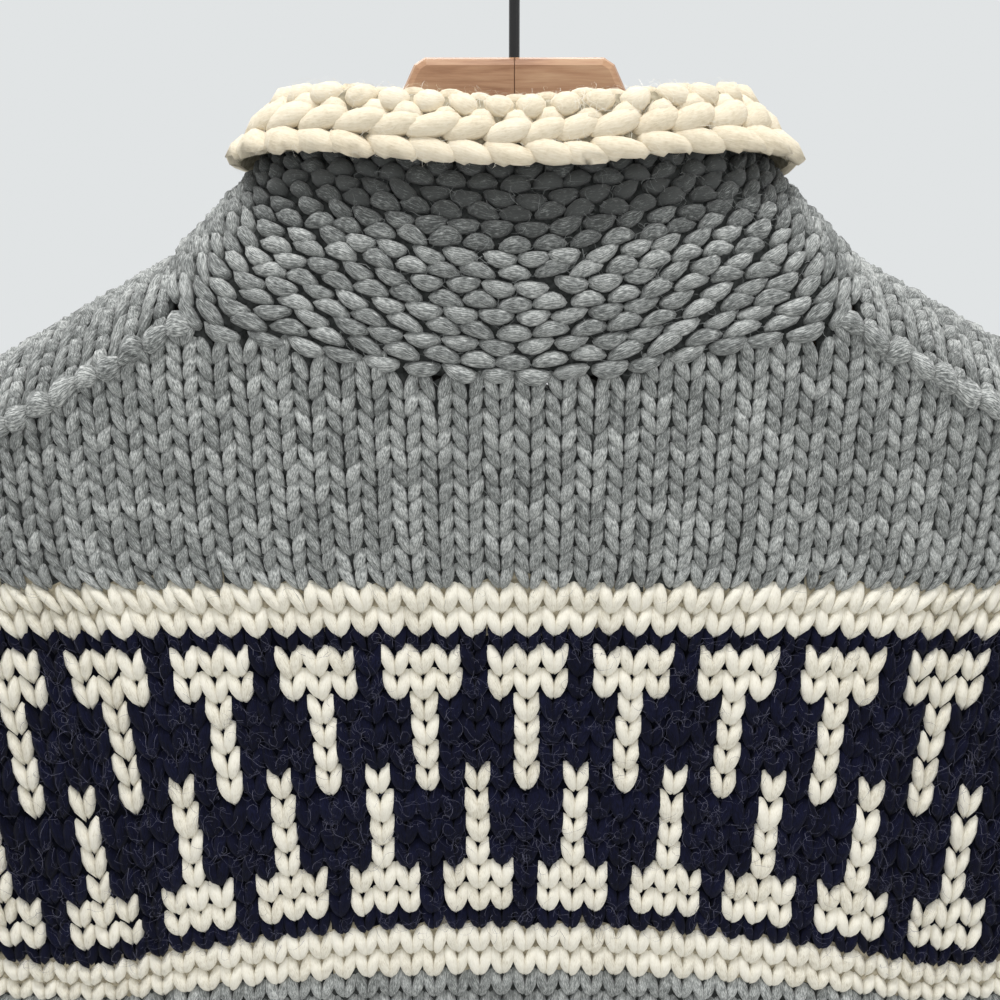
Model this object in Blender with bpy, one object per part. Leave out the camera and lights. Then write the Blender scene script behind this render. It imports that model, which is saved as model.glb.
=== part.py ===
"""A chunky hand-knitted zip cardigan on a wooden hanger.

Run it with blender --background --python part.py, or from Blender's text editor. The script works
in millimetres and scales to metres when a mesh is made. +Z is up, the garment's front faces -Y,
+X is its left side, and the origin is the inside top of the hanger's hook.
"""

from collections import namedtuple
from math import cos, pi, radians, sin, sqrt

import bmesh
import bpy
import numpy as np
from mathutils import Matrix, Vector

MM = 0.001
GAP = 0.35          # between pieces that meet at a seam
WALL = 6.0          # the bulky yarn makes a cloth 6 mm thick
PROBE = 0.05        # step used for a surface's slopes

# The torso, hung flat over the hanger
HALF_WIDTH = 262.0      # centre to side seam
HALF_DEPTH = 48.0       # centre plane to the cloth's outer face
CROWN = 5.0             # how far the face falls back towards the sides
SIDE_ROUND = 46.0       # width of the rounding at the side seams
SHOULDER_X = 125.0      # where the collar meets the shoulder's ridge
SHOULDER_Z = -152.0
SHOULDER_SLOPE = 0.55
ROLL = 40.0             # height of the rounding over the shoulder
SEAM_Q = 54.0           # the shoulder seam lies this far behind the ridge
UNDERARM_Z = -455.0
UNDERARM_BLEND = 45.0
WELT_Z = -775.0         # top of the hem welt
HEM_Z = -840.0
WELT_DRAW = 0.97        # the welt draws the width in a little
ZIP_EDGE = 7.0          # centre to the front panels' edges

NeckRow = namedtuple("NeckRow", "t x q")
# The neck seam from centre back (t 0) over the shoulder's ridge (t 0.5) to centre front (t 1).
# q is the distance along the cloth from the ridge, positive on the back.
NECK = (
    NeckRow(0.00, 0.0, 140.5),
    NeckRow(0.12, 38.0, 115.7),
    NeckRow(0.24, 78.0, 85.5),
    NeckRow(0.36, 115.0, 56.0),
    NeckRow(0.43, 125.0, 32.0),
    NeckRow(0.50, 127.0, 0.0),
    NeckRow(0.58, 124.0, -40.0),
    NeckRow(0.68, 107.0, -84.0),
    NeckRow(0.80, 72.0, -134.0),
    NeckRow(0.90, 38.0, -174.0),
    NeckRow(1.00, ZIP_EDGE, -203.0),
)

FoldRow = namedtuple("FoldRow", "t x y z")
# The outer face of the collar's stand at its fold.
FOLD = (
    FoldRow(0.00, 0.0, 38.0, -107.5),
    FoldRow(0.12, 27.0, 37.5, -105.5),
    FoldRow(0.24, 51.0, 33.0, -103.5),
    FoldRow(0.36, 70.5, 21.0, -102.5),
    FoldRow(0.50, 79.5, 0.0, -105.0),
    FoldRow(0.64, 76.0, -21.0, -121.0),
    FoldRow(0.80, 56.0, -38.0, -146.0),
    FoldRow(1.00, 24.0, -48.0, -183.0),
)

FlapRow = namedtuple("FlapRow", "t length")
# The turned part of the cream edge, from the fold to its free edge.
FLAP = (
    FlapRow(0.00, 21.0),
    FlapRow(0.24, 22.0),
    FlapRow(0.50, 34.0),
    FlapRow(0.75, 30.0),
    FlapRow(1.00, 24.0),
)
BULGE_BACK = 4.0        # the stand swells out at the back between seam and fold
BULGE_SIDE = -1.5       # and sinks in at the sides
SEAM_LIFT = 1.0         # the stand's lower edge above the neck seam
EDGE_START = 0.90       # the cream edge begins this far up the stand
STAND_ROWS = (0.0, 0.18, 0.40, 0.62, 0.82, EDGE_START)
CREST = 5.0             # the fold's height above the stand's outer face
FLAP_LIFT = 0.8         # its clearance from the stand near the fold
FLAP_FLARE = 2.6        # and at its free edge

DroopRow = namedtuple("DroopRow", "z droop")
# The rows hang lower towards the sides: droop at 130 mm from the centre.
DROOP = (
    DroopRow(-840.0, 6.0),
    DroopRow(-560.0, 9.0),
    DroopRow(-400.0, 12.0),
    DroopRow(-290.0, 1.0),
    DroopRow(-200.0, 0.0),
)

FoldWave = namedtuple("FoldWave", "x width depth start")
# Soft vertical troughs and ridges that the cloth's own weight pulls below the yoke.
WAVES = (
    FoldWave(-205.0, 30.0, -5.0, -330.0),
    FoldWave(-118.0, 38.0, 3.5, -470.0),
    FoldWave(62.0, 34.0, -4.0, -520.0),
    FoldWave(150.0, 30.0, 3.0, -450.0),
    FoldWave(208.0, 28.0, -5.5, -350.0),
)
FLAT_STRIP = 20.0       # no waves this near the zip
WAVE_RUN = 160.0        # a wave reaches its full depth this far below its start

SleeveRow = namedtuple("SleeveRow", "inner_x inner_z outer_x outer_z depth")
# Rings across a sleeve: its lower (body) side, its upper (outer) side and its half depth.
SLEEVE = (
    SleeveRow(HALF_WIDTH + GAP, -452.0, HALF_WIDTH + GAP, -228.0, 46.0),
    SleeveRow(267.0, -466.0, 300.0, -255.0, 45.0),
    SleeveRow(271.0, -488.0, 347.0, -315.0, 43.0),
    SleeveRow(277.0, -535.0, 387.0, -397.0, 41.0),
    SleeveRow(288.0, -605.0, 414.0, -500.0, 39.0),
    SleeveRow(303.0, -680.0, 432.0, -610.0, 37.0),
    SleeveRow(319.0, -756.0, 443.0, -716.0, 35.0),
)
CUFF = (
    SleeveRow(321.0, -755.7, 441.2, -717.0, 33.5),
    SleeveRow(327.0, -790.0, 444.0, -757.0, 31.0),
    SleeveRow(334.0, -826.0, 447.0, -795.0, 32.0),
)
SLEEVE_SIDES = 20
SLEEVE_SQUARE = 2.5     # how square the oval of a sleeve's section is

# The zip
CHAIN_HALF = 3.0
CHAIN_DEPTH = 2.6
TAPE_END = 17.0
TAPE_DEPTH = 1.0
ZIP_TOP = -271.0
ZIP_FOOT = 1.5          # the zip ends this far above the hem
SLIDER_TOP = -272.5
SLIDER_HEIGHT = 13.0
SLIDER_HALF = 4.6
SLIDER_DEPTH = 2.2
EAR_HALF = 3.4
EAR_WIDTH = 1.1
EAR_DEPTH = 3.6
BAR_RADIUS = 0.8
PULL_LENGTH = 27.0
PULL_HALF = 2.6
PULL_DEPTH = 1.3

# The hanger
HOOK_RADIUS = 24.0      # to the wire's centreline
WIRE = 2.0              # the wire's radius
BEND_RADIUS = 10.0
BLOCK_TOP = -85.0
ARM_HALF_DEPTH = 8.0
ARM_BEVEL = 3.0
ArmRow = namedtuple("ArmRow", "x z")
ARM_TOP = (
    ArmRow(33.0, -85.0),
    ArmRow(37.0, -87.5),
    ArmRow(42.0, -98.0),
    ArmRow(46.0, -110.0),
    ArmRow(52.0, -124.0),
    ArmRow(80.0, -138.0),
    ArmRow(120.0, -159.5),
)
ARM_COLUMNS = (136.0, 170.0)    # where the arm's top follows the shoulder
BLOCK_BOTTOM = -155.0
ARM_END_X = 205.0
ARM_BOTTOM = (
    ArmRow(211.0, -224.0),
    ArmRow(204.0, -232.0),
    ArmRow(170.0, -216.0),
    ArmRow(110.0, -188.0),
    ArmRow(55.0, -165.0),
)

COLOURS = {
    "grey wool": (0.27, 0.28, 0.29, 0.9, 0.0),
    "cream wool": (0.80, 0.76, 0.66, 0.9, 0.0),
    "zip tape": (0.05, 0.05, 0.06, 0.8, 0.0),
    "zip metal": (0.55, 0.55, 0.56, 0.35, 1.0),
    "beech": (0.53, 0.36, 0.22, 0.5, 0.0),
    "black wire": (0.02, 0.02, 0.02, 0.4, 0.6),
}


def material(name):
    """The Principled material of that name, made once."""
    found = bpy.data.materials.get(name)
    if found:
        return found
    red, green, blue, roughness, metallic = COLOURS[name]
    made = bpy.data.materials.new(name)
    made.use_nodes = True
    shader = made.node_tree.nodes["Principled BSDF"]
    shader.inputs["Base Color"].default_value = (red, green, blue, 1.0)
    shader.inputs["Roughness"].default_value = roughness
    shader.inputs["Metallic"].default_value = metallic
    return made


def column(rows, name):
    """One named column of a table."""
    return np.array([getattr(row, name) for row in rows], float)


def smooth(at, keys, values):
    """A smooth curve through the table's values that doesn't overshoot between them."""
    order = np.argsort(keys)
    keys = keys[order]
    values = values[order]
    steps = np.diff(values) / np.diff(keys)
    before = np.concatenate([steps[:1], steps])
    after = np.concatenate([steps, steps[-1:]])
    slopes = np.where(before * after > 0.0, 2.0 * before * after / (before + after + 1e-12), 0.0)
    at = np.clip(at, keys[0], keys[-1])
    i = np.clip(np.searchsorted(keys, at) - 1, 0, len(keys) - 2)
    span = keys[i + 1] - keys[i]
    s = (at - keys[i]) / span
    rise = values[i + 1] - values[i]
    first = slopes[i] * span
    last = slopes[i + 1] * span
    return values[i] + s * (first + s * (3.0 * rise - 2.0 * first - last + s * (first + last - 2.0 * rise)))


def curve(rows, key, name, at):
    """The named column of a table, read smoothly at the given keys."""
    return smooth(np.asarray(at, float), column(rows, key), column(rows, name))


def ridge(x):
    """The height of the shoulder's ridge."""
    return SHOULDER_Z - SHOULDER_SLOPE * (np.abs(x) - SHOULDER_X)


def torso(x, q):
    """Points of the torso's outer face, from x and the distance q along the cloth from the ridge."""
    quarter = ROLL * pi / 2.0
    turn = np.clip(q / ROLL, -pi / 2.0, pi / 2.0)
    beyond = np.maximum(np.abs(q) - quarter, 0.0)
    z = ridge(x) - ROLL * (1.0 - np.cos(turn)) - beyond
    side = np.clip((np.abs(x) - (HALF_WIDTH - SIDE_ROUND)) / SIDE_ROUND, 0.0, 1.0)
    closed = np.clip((UNDERARM_Z + UNDERARM_BLEND - z) / UNDERARM_BLEND, 0.0, 1.0)
    closed = closed * closed * (3.0 - 2.0 * closed)
    oval = 1.0 - closed * (1.0 - np.sqrt(np.maximum(1.0 - side * side, 0.0)))
    depth = HALF_DEPTH - CROWN * (x / HALF_WIDTH) ** 2
    face = np.sign(q) * (1.0 - side) * np.clip((np.abs(x) - FLAT_STRIP) / FLAT_STRIP, 0.0, 1.0)
    wave = np.zeros_like(z)
    for fold in WAVES:
        grown = np.clip((fold.start - z) / WAVE_RUN, 0.0, 1.0)
        wave = wave + fold.depth * grown * np.exp(-(((x - fold.x) / fold.width) ** 2))
    y = depth * np.sin(turn) * oval + wave * face
    droop = curve(DROOP, "z", "droop", z) * np.minimum((x / 130.0) ** 2, 1.6)
    drawn = np.clip((WELT_Z + 25.0 - z) / 60.0, 0.0, 1.0)
    narrow = 1.0 - (1.0 - WELT_DRAW) * drawn * drawn * (3.0 - 2.0 * drawn)
    return np.stack([x * narrow, y, z - droop * (1.0 - closed * 0.4)], axis=-1)


def normals(surface, a, b):
    """Outward unit normals of a surface of two numbers, from its slopes."""
    along = surface(a + PROBE, b) - surface(a - PROBE, b)
    across = surface(a, b + PROBE) - surface(a, b - PROBE)
    normal = np.cross(along, across)
    return normal / np.linalg.norm(normal, axis=-1, keepdims=True)


def q_of(x, z, side):
    """The distance q from the ridge of a point at height z, on the back (1) or the front (-1)."""
    fall = ridge(x) - z
    rolled = ROLL * np.arccos(np.clip(1.0 - fall / ROLL, -1.0, 1.0))
    return side * np.where(fall > ROLL, ROLL * pi / 2.0 + fall - ROLL, rolled)


def make(name, outer, inner, cells, finish, round_it=False):
    """A wall between two grids of points, over the cells that are kept, as one closed object."""
    rows, columns = outer.shape[:2]
    mesh = bmesh.new()
    layers = []
    used = np.zeros((rows, columns), bool)
    for i, j in zip(*np.nonzero(cells)):
        for a, b in ((i, j), (i + 1, j), (i + 1, j + 1), (i, j + 1)):
            used[a, b % columns] = True
    for points in (outer, inner):
        layers.append({
            (i, j): mesh.verts.new(Vector(points[i, j]) * MM)
            for i, j in zip(*np.nonzero(used))
        })
    edges = {}
    for i, j in zip(*np.nonzero(cells)):
        nxt = (j + 1) % columns if round_it else j + 1
        loop = ((i, j), (i, nxt), (i + 1, nxt), (i + 1, j))
        mesh.faces.new([layers[0][key] for key in loop])
        mesh.faces.new([layers[1][key] for key in reversed(loop)])
        for a, b in zip(loop, loop[1:] + loop[:1]):
            if (b, a) in edges:
                del edges[(b, a)]
            else:
                edges[(a, b)] = True
    for a, b in edges:
        mesh.faces.new([layers[0][b], layers[0][a], layers[1][a], layers[1][b]])
    bmesh.ops.recalc_face_normals(mesh, faces=mesh.faces)
    return finished(name, mesh, finish)


def finished(name, mesh, finish):
    """The object of a bmesh, shaded smooth but for its sharp edges."""
    data = bpy.data.meshes.new(name)
    mesh.to_mesh(data)
    mesh.free()
    data.shade_smooth()
    data.set_sharp_from_angle(angle=radians(35.0))
    data.materials.append(material(finish))
    made = bpy.data.objects.new(name, data)
    bpy.context.scene.collection.objects.link(made)
    return made


def panel(name, x, q, cells, finish):
    """A wall of cloth on the torso's outer face, from grids of x and q."""
    outer = torso(x, q)
    outward = normals(torso, x, q)
    middle = np.array([0.0, 0.0, -420.0])
    facing = np.sum((outer - middle) * outward * (1.0, 1.0, 0.05), axis=-1).sum()
    inner = outer - WALL * outward * np.sign(facing)
    return make(name, outer, inner, cells, finish)


# The places round the collar, from centre back to centre front, where the grids have a column.
BACK_T = (0.0, 0.06, 0.12, 0.18, 0.24, 0.30, 0.36)
RIDGE_T = (0.36, 0.43, 0.475, 0.50, 0.525, 0.58)
FRONT_T = (1.0, 0.95, 0.90, 0.85, 0.80, 0.74, 0.68, 0.63, 0.58)
SHOULDER_X_COLUMNS = (142.0, 170.0, 200.0, 222.0, 238.0, 250.0, 258.0, HALF_WIDTH - 0.02)
BODY_ROWS = (0.0, 0.03, 0.08, 0.16, 0.27, 0.40, 0.48, 0.55, 0.68, 0.82, 1.0)


def build_back():
    """The back panel and its hem welt."""
    away, top = neck_edge(np.array(BACK_T))
    rest = np.array(SHOULDER_X_COLUMNS)
    x = np.concatenate([away, rest])
    top = np.concatenate([top + GAP, np.full(len(rest), SEAM_Q + GAP / 2.0)])
    x = np.concatenate([-x[:0:-1], x])
    top = np.concatenate([top[:0:-1], top])
    bottom = q_of(x, WELT_Z + GAP / 2.0, 1.0)
    share = np.array(BODY_ROWS)[:, None]
    q = top[None, :] + share * (bottom - top)[None, :]
    grid_x = np.broadcast_to(x, q.shape).copy()
    cells = np.ones((q.shape[0] - 1, q.shape[1] - 1), bool)
    panel("back", grid_x, q, cells, "grey wool")
    welt("hem_back", x, 1.0)


def welt(name, x, side):
    """A garter stitch welt below a body panel."""
    heights = np.linspace(WELT_Z - GAP / 2.0, HEM_Z, 3)[:, None]
    grid_x = np.broadcast_to(x, (3, len(x))).copy()
    q = q_of(grid_x, heights, side)
    cells = np.ones((2, len(x) - 1), bool)
    panel(name, grid_x, q, cells, "grey wool")


def build_front(name, hem_name, hand):
    """A front panel with its shoulder, and its hem welt. Its upper rows pass over the ridge."""
    inside, first = neck_edge(np.array(FRONT_T))
    turn = len(inside) - 1
    inside[turn] += GAP
    outside = np.array(SHOULDER_X_COLUMNS)
    x = np.concatenate([inside, outside])
    ridge_x, ridge_q = neck_edge(np.array(RIDGE_T[:-1]))
    rows = len(ridge_q)
    upper_x = np.broadcast_to(x, (rows, len(x))).copy()
    upper_x[:, turn] = ridge_x + GAP
    upper = np.broadcast_to(ridge_q[:, None], upper_x.shape).copy()
    upper[0] = SEAM_Q - GAP / 2.0
    first = np.concatenate([first - GAP, np.full(len(outside), first[turn])])
    bottom = q_of(x, WELT_Z + GAP / 2.0, -1.0)
    share = np.array(BODY_ROWS)[:, None]
    lower = first[None, :] + share * (bottom - first)[None, :]
    q = np.concatenate([upper, lower])
    grid_x = np.concatenate([upper_x, np.broadcast_to(x, lower.shape)]) * hand
    cells = np.ones((q.shape[0] - 1, q.shape[1] - 1), bool)
    cells[:rows, :turn] = False
    panel(name, grid_x, q, cells, "grey wool")
    welt(hem_name, x * hand, -1.0)


def neck_edge(t):
    """The neck seam on the torso, for t from -1 to 1, negative on the garment's right."""
    away = np.abs(t)
    x = curve(NECK, "t", "x", away)
    return np.sign(t) * x, curve(NECK, "t", "q", away)


def fold_edge(t):
    """The stand's outer face at the fold, for t from -1 to 1."""
    away = np.abs(t)
    x = np.sign(t) * curve(FOLD, "t", "x", away)
    return np.stack([x, curve(FOLD, "t", "y", away), curve(FOLD, "t", "z", away)], axis=-1)


def stand_length(t):
    """The length of the stand from the neck seam to the fold."""
    x, q = neck_edge(t)
    return np.linalg.norm(torso(x, q) - fold_edge(t), axis=-1)


def collar(t, w):
    """The collar's outer face: w runs from 0 at the neck seam to 1 at the fold."""
    x, q = neck_edge(t)
    base = torso(x, q)
    top = fold_edge(t)
    out = (base + top) / 2.0
    out[..., 2] = 0.0
    out = out / np.linalg.norm(out, axis=-1, keepdims=True)
    sideways = np.minimum(np.abs(t) / 0.5, 1.0) ** 2
    swell = (BULGE_BACK + (BULGE_SIDE - BULGE_BACK) * sideways) * np.sin(pi * np.asarray(w))
    w = np.asarray(w)[..., None]
    return base * (1.0 - w) + top * w + out * swell[..., None]


def collar_columns():
    """The places round the collar where its grid has a column, from -1 to 1."""
    half = np.unique(np.array(BACK_T + RIDGE_T + FRONT_T))
    return np.concatenate([-half[:0:-1], half])


def build_collar():
    """The grey stand and the cream edge that is turned over its fold."""
    t = collar_columns()
    w = np.array(STAND_ROWS)[:, None]
    grid_t = np.broadcast_to(t, (len(w), len(t))).copy()
    grid_w = np.broadcast_to(w, grid_t.shape).copy()
    grid_w[0] = SEAM_LIFT / stand_length(t)
    outer = collar(grid_t, grid_w)
    outward = collar_normals(grid_t, grid_w)
    x, q = neck_edge(t)
    cloth = normals(torso, x, q)
    cloth = cloth * np.sign(np.sum(cloth * outward[0], axis=-1, keepdims=True))
    inner = outer - WALL * outward
    inner[0] = outer[0] - WALL * cloth
    inner[1] = (inner[1] + outer[1] - WALL * cloth) / 2.0
    make("collar_stand", outer, inner, np.ones((len(w) - 1, len(t) - 1), bool), "grey wool")
    build_edge(t)


def collar_normals(t, w):
    """Outward normals of the collar's face."""
    step = 0.002
    along = collar(t + step, w) - collar(t - step, w)
    up = collar(t, w + step) - collar(t, w - step)
    normal = np.cross(up, along)
    normal = normal / np.linalg.norm(normal, axis=-1, keepdims=True)
    hub = np.array([0.0, 0.0, -150.0])
    sign = np.sign(np.sum((collar(t, w) - hub) * normal * (1.0, 1.0, 0.0), axis=-1, keepdims=True))
    return normal * sign


def build_edge(t):
    """The cream edge: up the last of the stand, over the fold and down outside it."""
    length = stand_length(t)
    low = 1.0 - curve(FLAP, "t", "length", np.abs(t)) / length

    def face(w, out):
        """A point that far outside the stand's outer face."""
        w = np.broadcast_to(w, t.shape)
        return collar(t, w) + collar_normals(t, w) * out

    lift = np.array([0.0, 0.0, 1.0])
    seam = EDGE_START + GAP / length
    near = EDGE_START + 0.03
    middle = (low + EDGE_START) / 2.0
    skin = np.stack([
        face(seam, -WALL),
        face(1.0, -WALL) + lift,
        face(1.0, -WALL * 0.3) + lift * CREST,
        face(1.0, WALL * 0.9) + lift * CREST * 0.6,
        face(middle, FLAP_LIFT + WALL),
        face(low, FLAP_FLARE + WALL),
    ])
    under = np.stack([
        face(seam, 0.0),
        face(near, FLAP_LIFT * 0.3),
        face(near, FLAP_LIFT),
        face(EDGE_START - 0.03, FLAP_LIFT),
        face(middle, FLAP_LIFT),
        face(low, FLAP_FLARE),
    ])
    cells = np.ones((len(skin) - 1, len(t) - 1), bool)
    make("collar_edge", skin, under, cells, "cream wool")


def ring(row, hand):
    """A sleeve's ring of points and the same ring a wall further in."""
    inside = np.array([row.inner_x, row.inner_z])
    outside = np.array([row.outer_x, row.outer_z])
    middle = (inside + outside) / 2.0
    half = (outside - inside) / 2.0
    reach = sqrt(half @ half)
    half = half / reach
    rings = []
    for wide, deep in ((reach, row.depth), (reach - WALL, row.depth - WALL)):
        turn = np.arange(SLEEVE_SIDES) * 2.0 * pi / SLEEVE_SIDES
        c = np.sign(np.cos(turn)) * np.abs(np.cos(turn)) ** (2.0 / SLEEVE_SQUARE)
        s = np.sign(np.sin(turn)) * np.abs(np.sin(turn)) ** (2.0 / SLEEVE_SQUARE)
        x = middle[0] + half[0] * wide * c
        z = middle[1] + half[1] * wide * c
        rings.append(np.stack([x * hand, deep * s, z], axis=-1))
    return rings


def tube(name, rows, hand):
    """A tube of cloth through the rings of a table."""
    pairs = [ring(row, hand) for row in rows]
    outer = np.stack([pair[0] for pair in pairs])
    inner = np.stack([pair[1] for pair in pairs])
    cells = np.ones((len(rows) - 1, SLEEVE_SIDES), bool)
    make(name, outer, inner, cells, "grey wool", round_it=True)


def block(name, low, high, finish):
    """A box between two corners."""
    mesh = bmesh.new()
    bmesh.ops.create_cube(mesh, size=1.0)
    low = Vector(low) * MM
    high = Vector(high) * MM
    for vert in mesh.verts:
        vert.co = Vector(low[k] + (vert.co[k] + 0.5) * (high[k] - low[k]) for k in range(3))
    return finished(name, mesh, finish)


def zip_face():
    """The y of the front panels' inner face at the zip."""
    return -(HALF_DEPTH - WALL)


def build_zip():
    """The two tapes, the chain between the fronts, the slider and its pull."""
    inner = zip_face()
    low = HEM_Z + ZIP_FOOT
    for side, hand in (("left", 1.0), ("right", -1.0)):
        ends = sorted((hand * (CHAIN_HALF + GAP), hand * TAPE_END))
        back = inner + GAP + TAPE_DEPTH
        block(f"zip_tape_{side}", (ends[0], inner + GAP, low), (ends[1], back, ZIP_TOP), "zip tape")
    chain_back = inner + GAP + TAPE_DEPTH
    chain_front = chain_back - CHAIN_DEPTH
    block("zip_chain", (-CHAIN_HALF, chain_front, low), (CHAIN_HALF, chain_back, ZIP_TOP), "zip metal")
    build_slider(chain_front - GAP)


def build_slider(face):
    """The slider's plate with two ears, and the pull on a bar between them."""
    mesh = bmesh.new()
    top = SLIDER_TOP
    low = top - SLIDER_HEIGHT
    bar_y = face - SLIDER_DEPTH - EAR_DEPTH / 2.0
    bar_z = top - SLIDER_HEIGHT * 0.35
    outline = [(-SLIDER_HALF, low), (SLIDER_HALF, low), (SLIDER_HALF, top - 4.0), (SLIDER_HALF * 0.7, top),
               (-SLIDER_HALF * 0.7, top), (-SLIDER_HALF, top - 4.0)]
    verts = [mesh.verts.new(Vector((x, face, z)) * MM) for x, z in outline]
    plate = mesh.faces.new(verts)
    moved = bmesh.ops.extrude_face_region(mesh, geom=[plate])
    moved = [item for item in moved["geom"] if isinstance(item, bmesh.types.BMVert)]
    bmesh.ops.translate(mesh, verts=moved, vec=Vector((0.0, -SLIDER_DEPTH, 0.0)) * MM)
    bmesh.ops.recalc_face_normals(mesh, faces=mesh.faces)
    slider = finished("zip_slider", mesh, "zip metal")
    for hand in (-1.0, 1.0):
        ends = sorted((hand * EAR_HALF, hand * (EAR_HALF - EAR_WIDTH)))
        ear = block("ear", (ends[0], face - SLIDER_DEPTH - EAR_DEPTH, bar_z - 2.0),
                    (ends[1], face - SLIDER_DEPTH + 0.5, bar_z + 2.0), "zip metal")
        ear.hide_render = True
        ear.display_type = "WIRE"
        joined = slider.modifiers.new(f"ear {hand:g}", "BOOLEAN")
        joined.operation = "UNION"
        joined.object = ear
    build_pull(bar_y, bar_z)


def build_pull(bar_y, bar_z):
    """The pull tab: a bar between the ears and a flat tab that hangs from it."""
    bar_half = EAR_HALF - EAR_WIDTH - GAP
    mesh = bmesh.new()
    turned = Matrix.Rotation(pi / 2.0, 4, "Y")
    bmesh.ops.create_cone(mesh, cap_ends=True, segments=12, radius1=BAR_RADIUS * MM, radius2=BAR_RADIUS * MM,
                          depth=2.0 * bar_half * MM, matrix=turned)
    pull = finished("zip_pull", mesh, "zip metal")
    pull.location = Vector((0.0, bar_y, bar_z)) * MM
    neck_half = bar_half - 0.3
    tab = block("tab", (-neck_half, bar_y - PULL_DEPTH / 2.0, bar_z - 5.0),
                (neck_half, bar_y + PULL_DEPTH / 2.0, bar_z), "zip metal")
    grip = block("grip", (-PULL_HALF, bar_y - PULL_DEPTH / 2.0, bar_z - PULL_LENGTH),
                 (PULL_HALF, bar_y + PULL_DEPTH / 2.0, bar_z - 4.5), "zip metal")
    for cutter in (tab, grip):
        cutter.hide_render = True
        cutter.display_type = "WIRE"
        joined = pull.modifiers.new(cutter.name, "BOOLEAN")
        joined.operation = "UNION"
        joined.object = cutter


def arm_top(x):
    """The height of an arm's top, just under the cloth's inner face."""
    return ridge(x) - (WALL + 0.7) * sqrt(1.0 + SHOULDER_SLOPE ** 2) - 0.3


def build_arm(name, hand):
    """One wooden half of the hanger, from the centre seam to its end."""
    outline = [(GAP / 2.0, BLOCK_TOP)]
    outline += [(row.x, row.z) for row in ARM_TOP]
    outline += [(x, arm_top(x)) for x in ARM_COLUMNS + (ARM_END_X,)]
    outline += [(row.x, row.z) for row in ARM_BOTTOM]
    outline += [(GAP / 2.0, BLOCK_BOTTOM)]
    mesh = bmesh.new()
    verts = [mesh.verts.new(Vector((x * hand, -ARM_HALF_DEPTH, z)) * MM) for x, z in outline]
    side = mesh.faces.new(verts)
    moved = bmesh.ops.extrude_face_region(mesh, geom=[side])
    moved = [item for item in moved["geom"] if isinstance(item, bmesh.types.BMVert)]
    bmesh.ops.translate(mesh, verts=moved, vec=Vector((0.0, 2.0 * ARM_HALF_DEPTH, 0.0)) * MM)
    bmesh.ops.recalc_face_normals(mesh, faces=mesh.faces)
    seam = GAP * MM
    rounded = [edge for edge in mesh.edges
               if max(abs(vert.co.x) for vert in edge.verts) > seam
               and abs(edge.verts[0].co.y - edge.verts[1].co.y) < 1e-6]
    bmesh.ops.bevel(mesh, geom=rounded, offset=ARM_BEVEL * MM, segments=2, profile=0.5, affect="EDGES",
                    material=-1, clamp_overlap=True)
    finished(name, mesh, "beech")


def arc(centre, radius, start, end, count):
    """Points on an arc in the XZ plane, angles in degrees."""
    angles = np.radians(np.linspace(start, end, count))
    return [(centre[0] + radius * cos(a), centre[1] + radius * sin(a)) for a in angles]


def build_hook():
    """The black wire: a stem on the block, a small bend, and three quarters of a round hook."""
    centre = (0.0, WIRE - HOOK_RADIUS)
    rise = sqrt(HOOK_RADIUS ** 2 + 2.0 * HOOK_RADIUS * BEND_RADIUS)
    bend = (BEND_RADIUS, centre[1] - rise)
    meet = np.degrees(np.arctan2(rise, -BEND_RADIUS))
    points = [(0.0, BLOCK_TOP + GAP), (0.0, (BLOCK_TOP + bend[1]) / 2.0)]
    points += arc(bend, BEND_RADIUS, 180.0, meet, 5)
    points += arc(centre, HOOK_RADIUS, meet - 180.0, 205.0, 26)[1:]
    data = bpy.data.curves.new("hanger_hook", "CURVE")
    data.dimensions = "3D"
    spline = data.splines.new("POLY")
    spline.points.add(len(points) - 1)
    for point, (x, z) in zip(spline.points, points):
        point.co = (x * MM, 0.0, z * MM, 1.0)
    data.bevel_depth = WIRE * MM
    data.bevel_resolution = 3
    data.use_fill_caps = True
    data.materials.append(material("black wire"))
    made = bpy.data.objects.new("hanger_hook", data)
    bpy.context.scene.collection.objects.link(made)


def main():
    """Clears the scene and builds every piece."""
    for old in list(bpy.data.objects):
        bpy.data.objects.remove(old, do_unlink=True)
    build_back()
    build_front("front_left", "hem_front_left", 1.0)
    build_front("front_right", "hem_front_right", -1.0)
    build_collar()
    for side, hand in (("left", 1.0), ("right", -1.0)):
        tube(f"sleeve_{side}", SLEEVE, hand)
        tube(f"cuff_{side}", CUFF, hand)
        build_arm(f"hanger_arm_{side}", hand)
    build_zip()
    build_hook()


main()
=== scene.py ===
"""Looks of a chunky hand-knitted zip cardigan that hangs on a wooden hanger, seen from behind."""

import logging
import math
from dataclasses import dataclass
from enum import Enum
from typing import Callable, NamedTuple

import bmesh
import bpy
import numpy as np
from mathutils import Euler, Matrix, Vector


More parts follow.
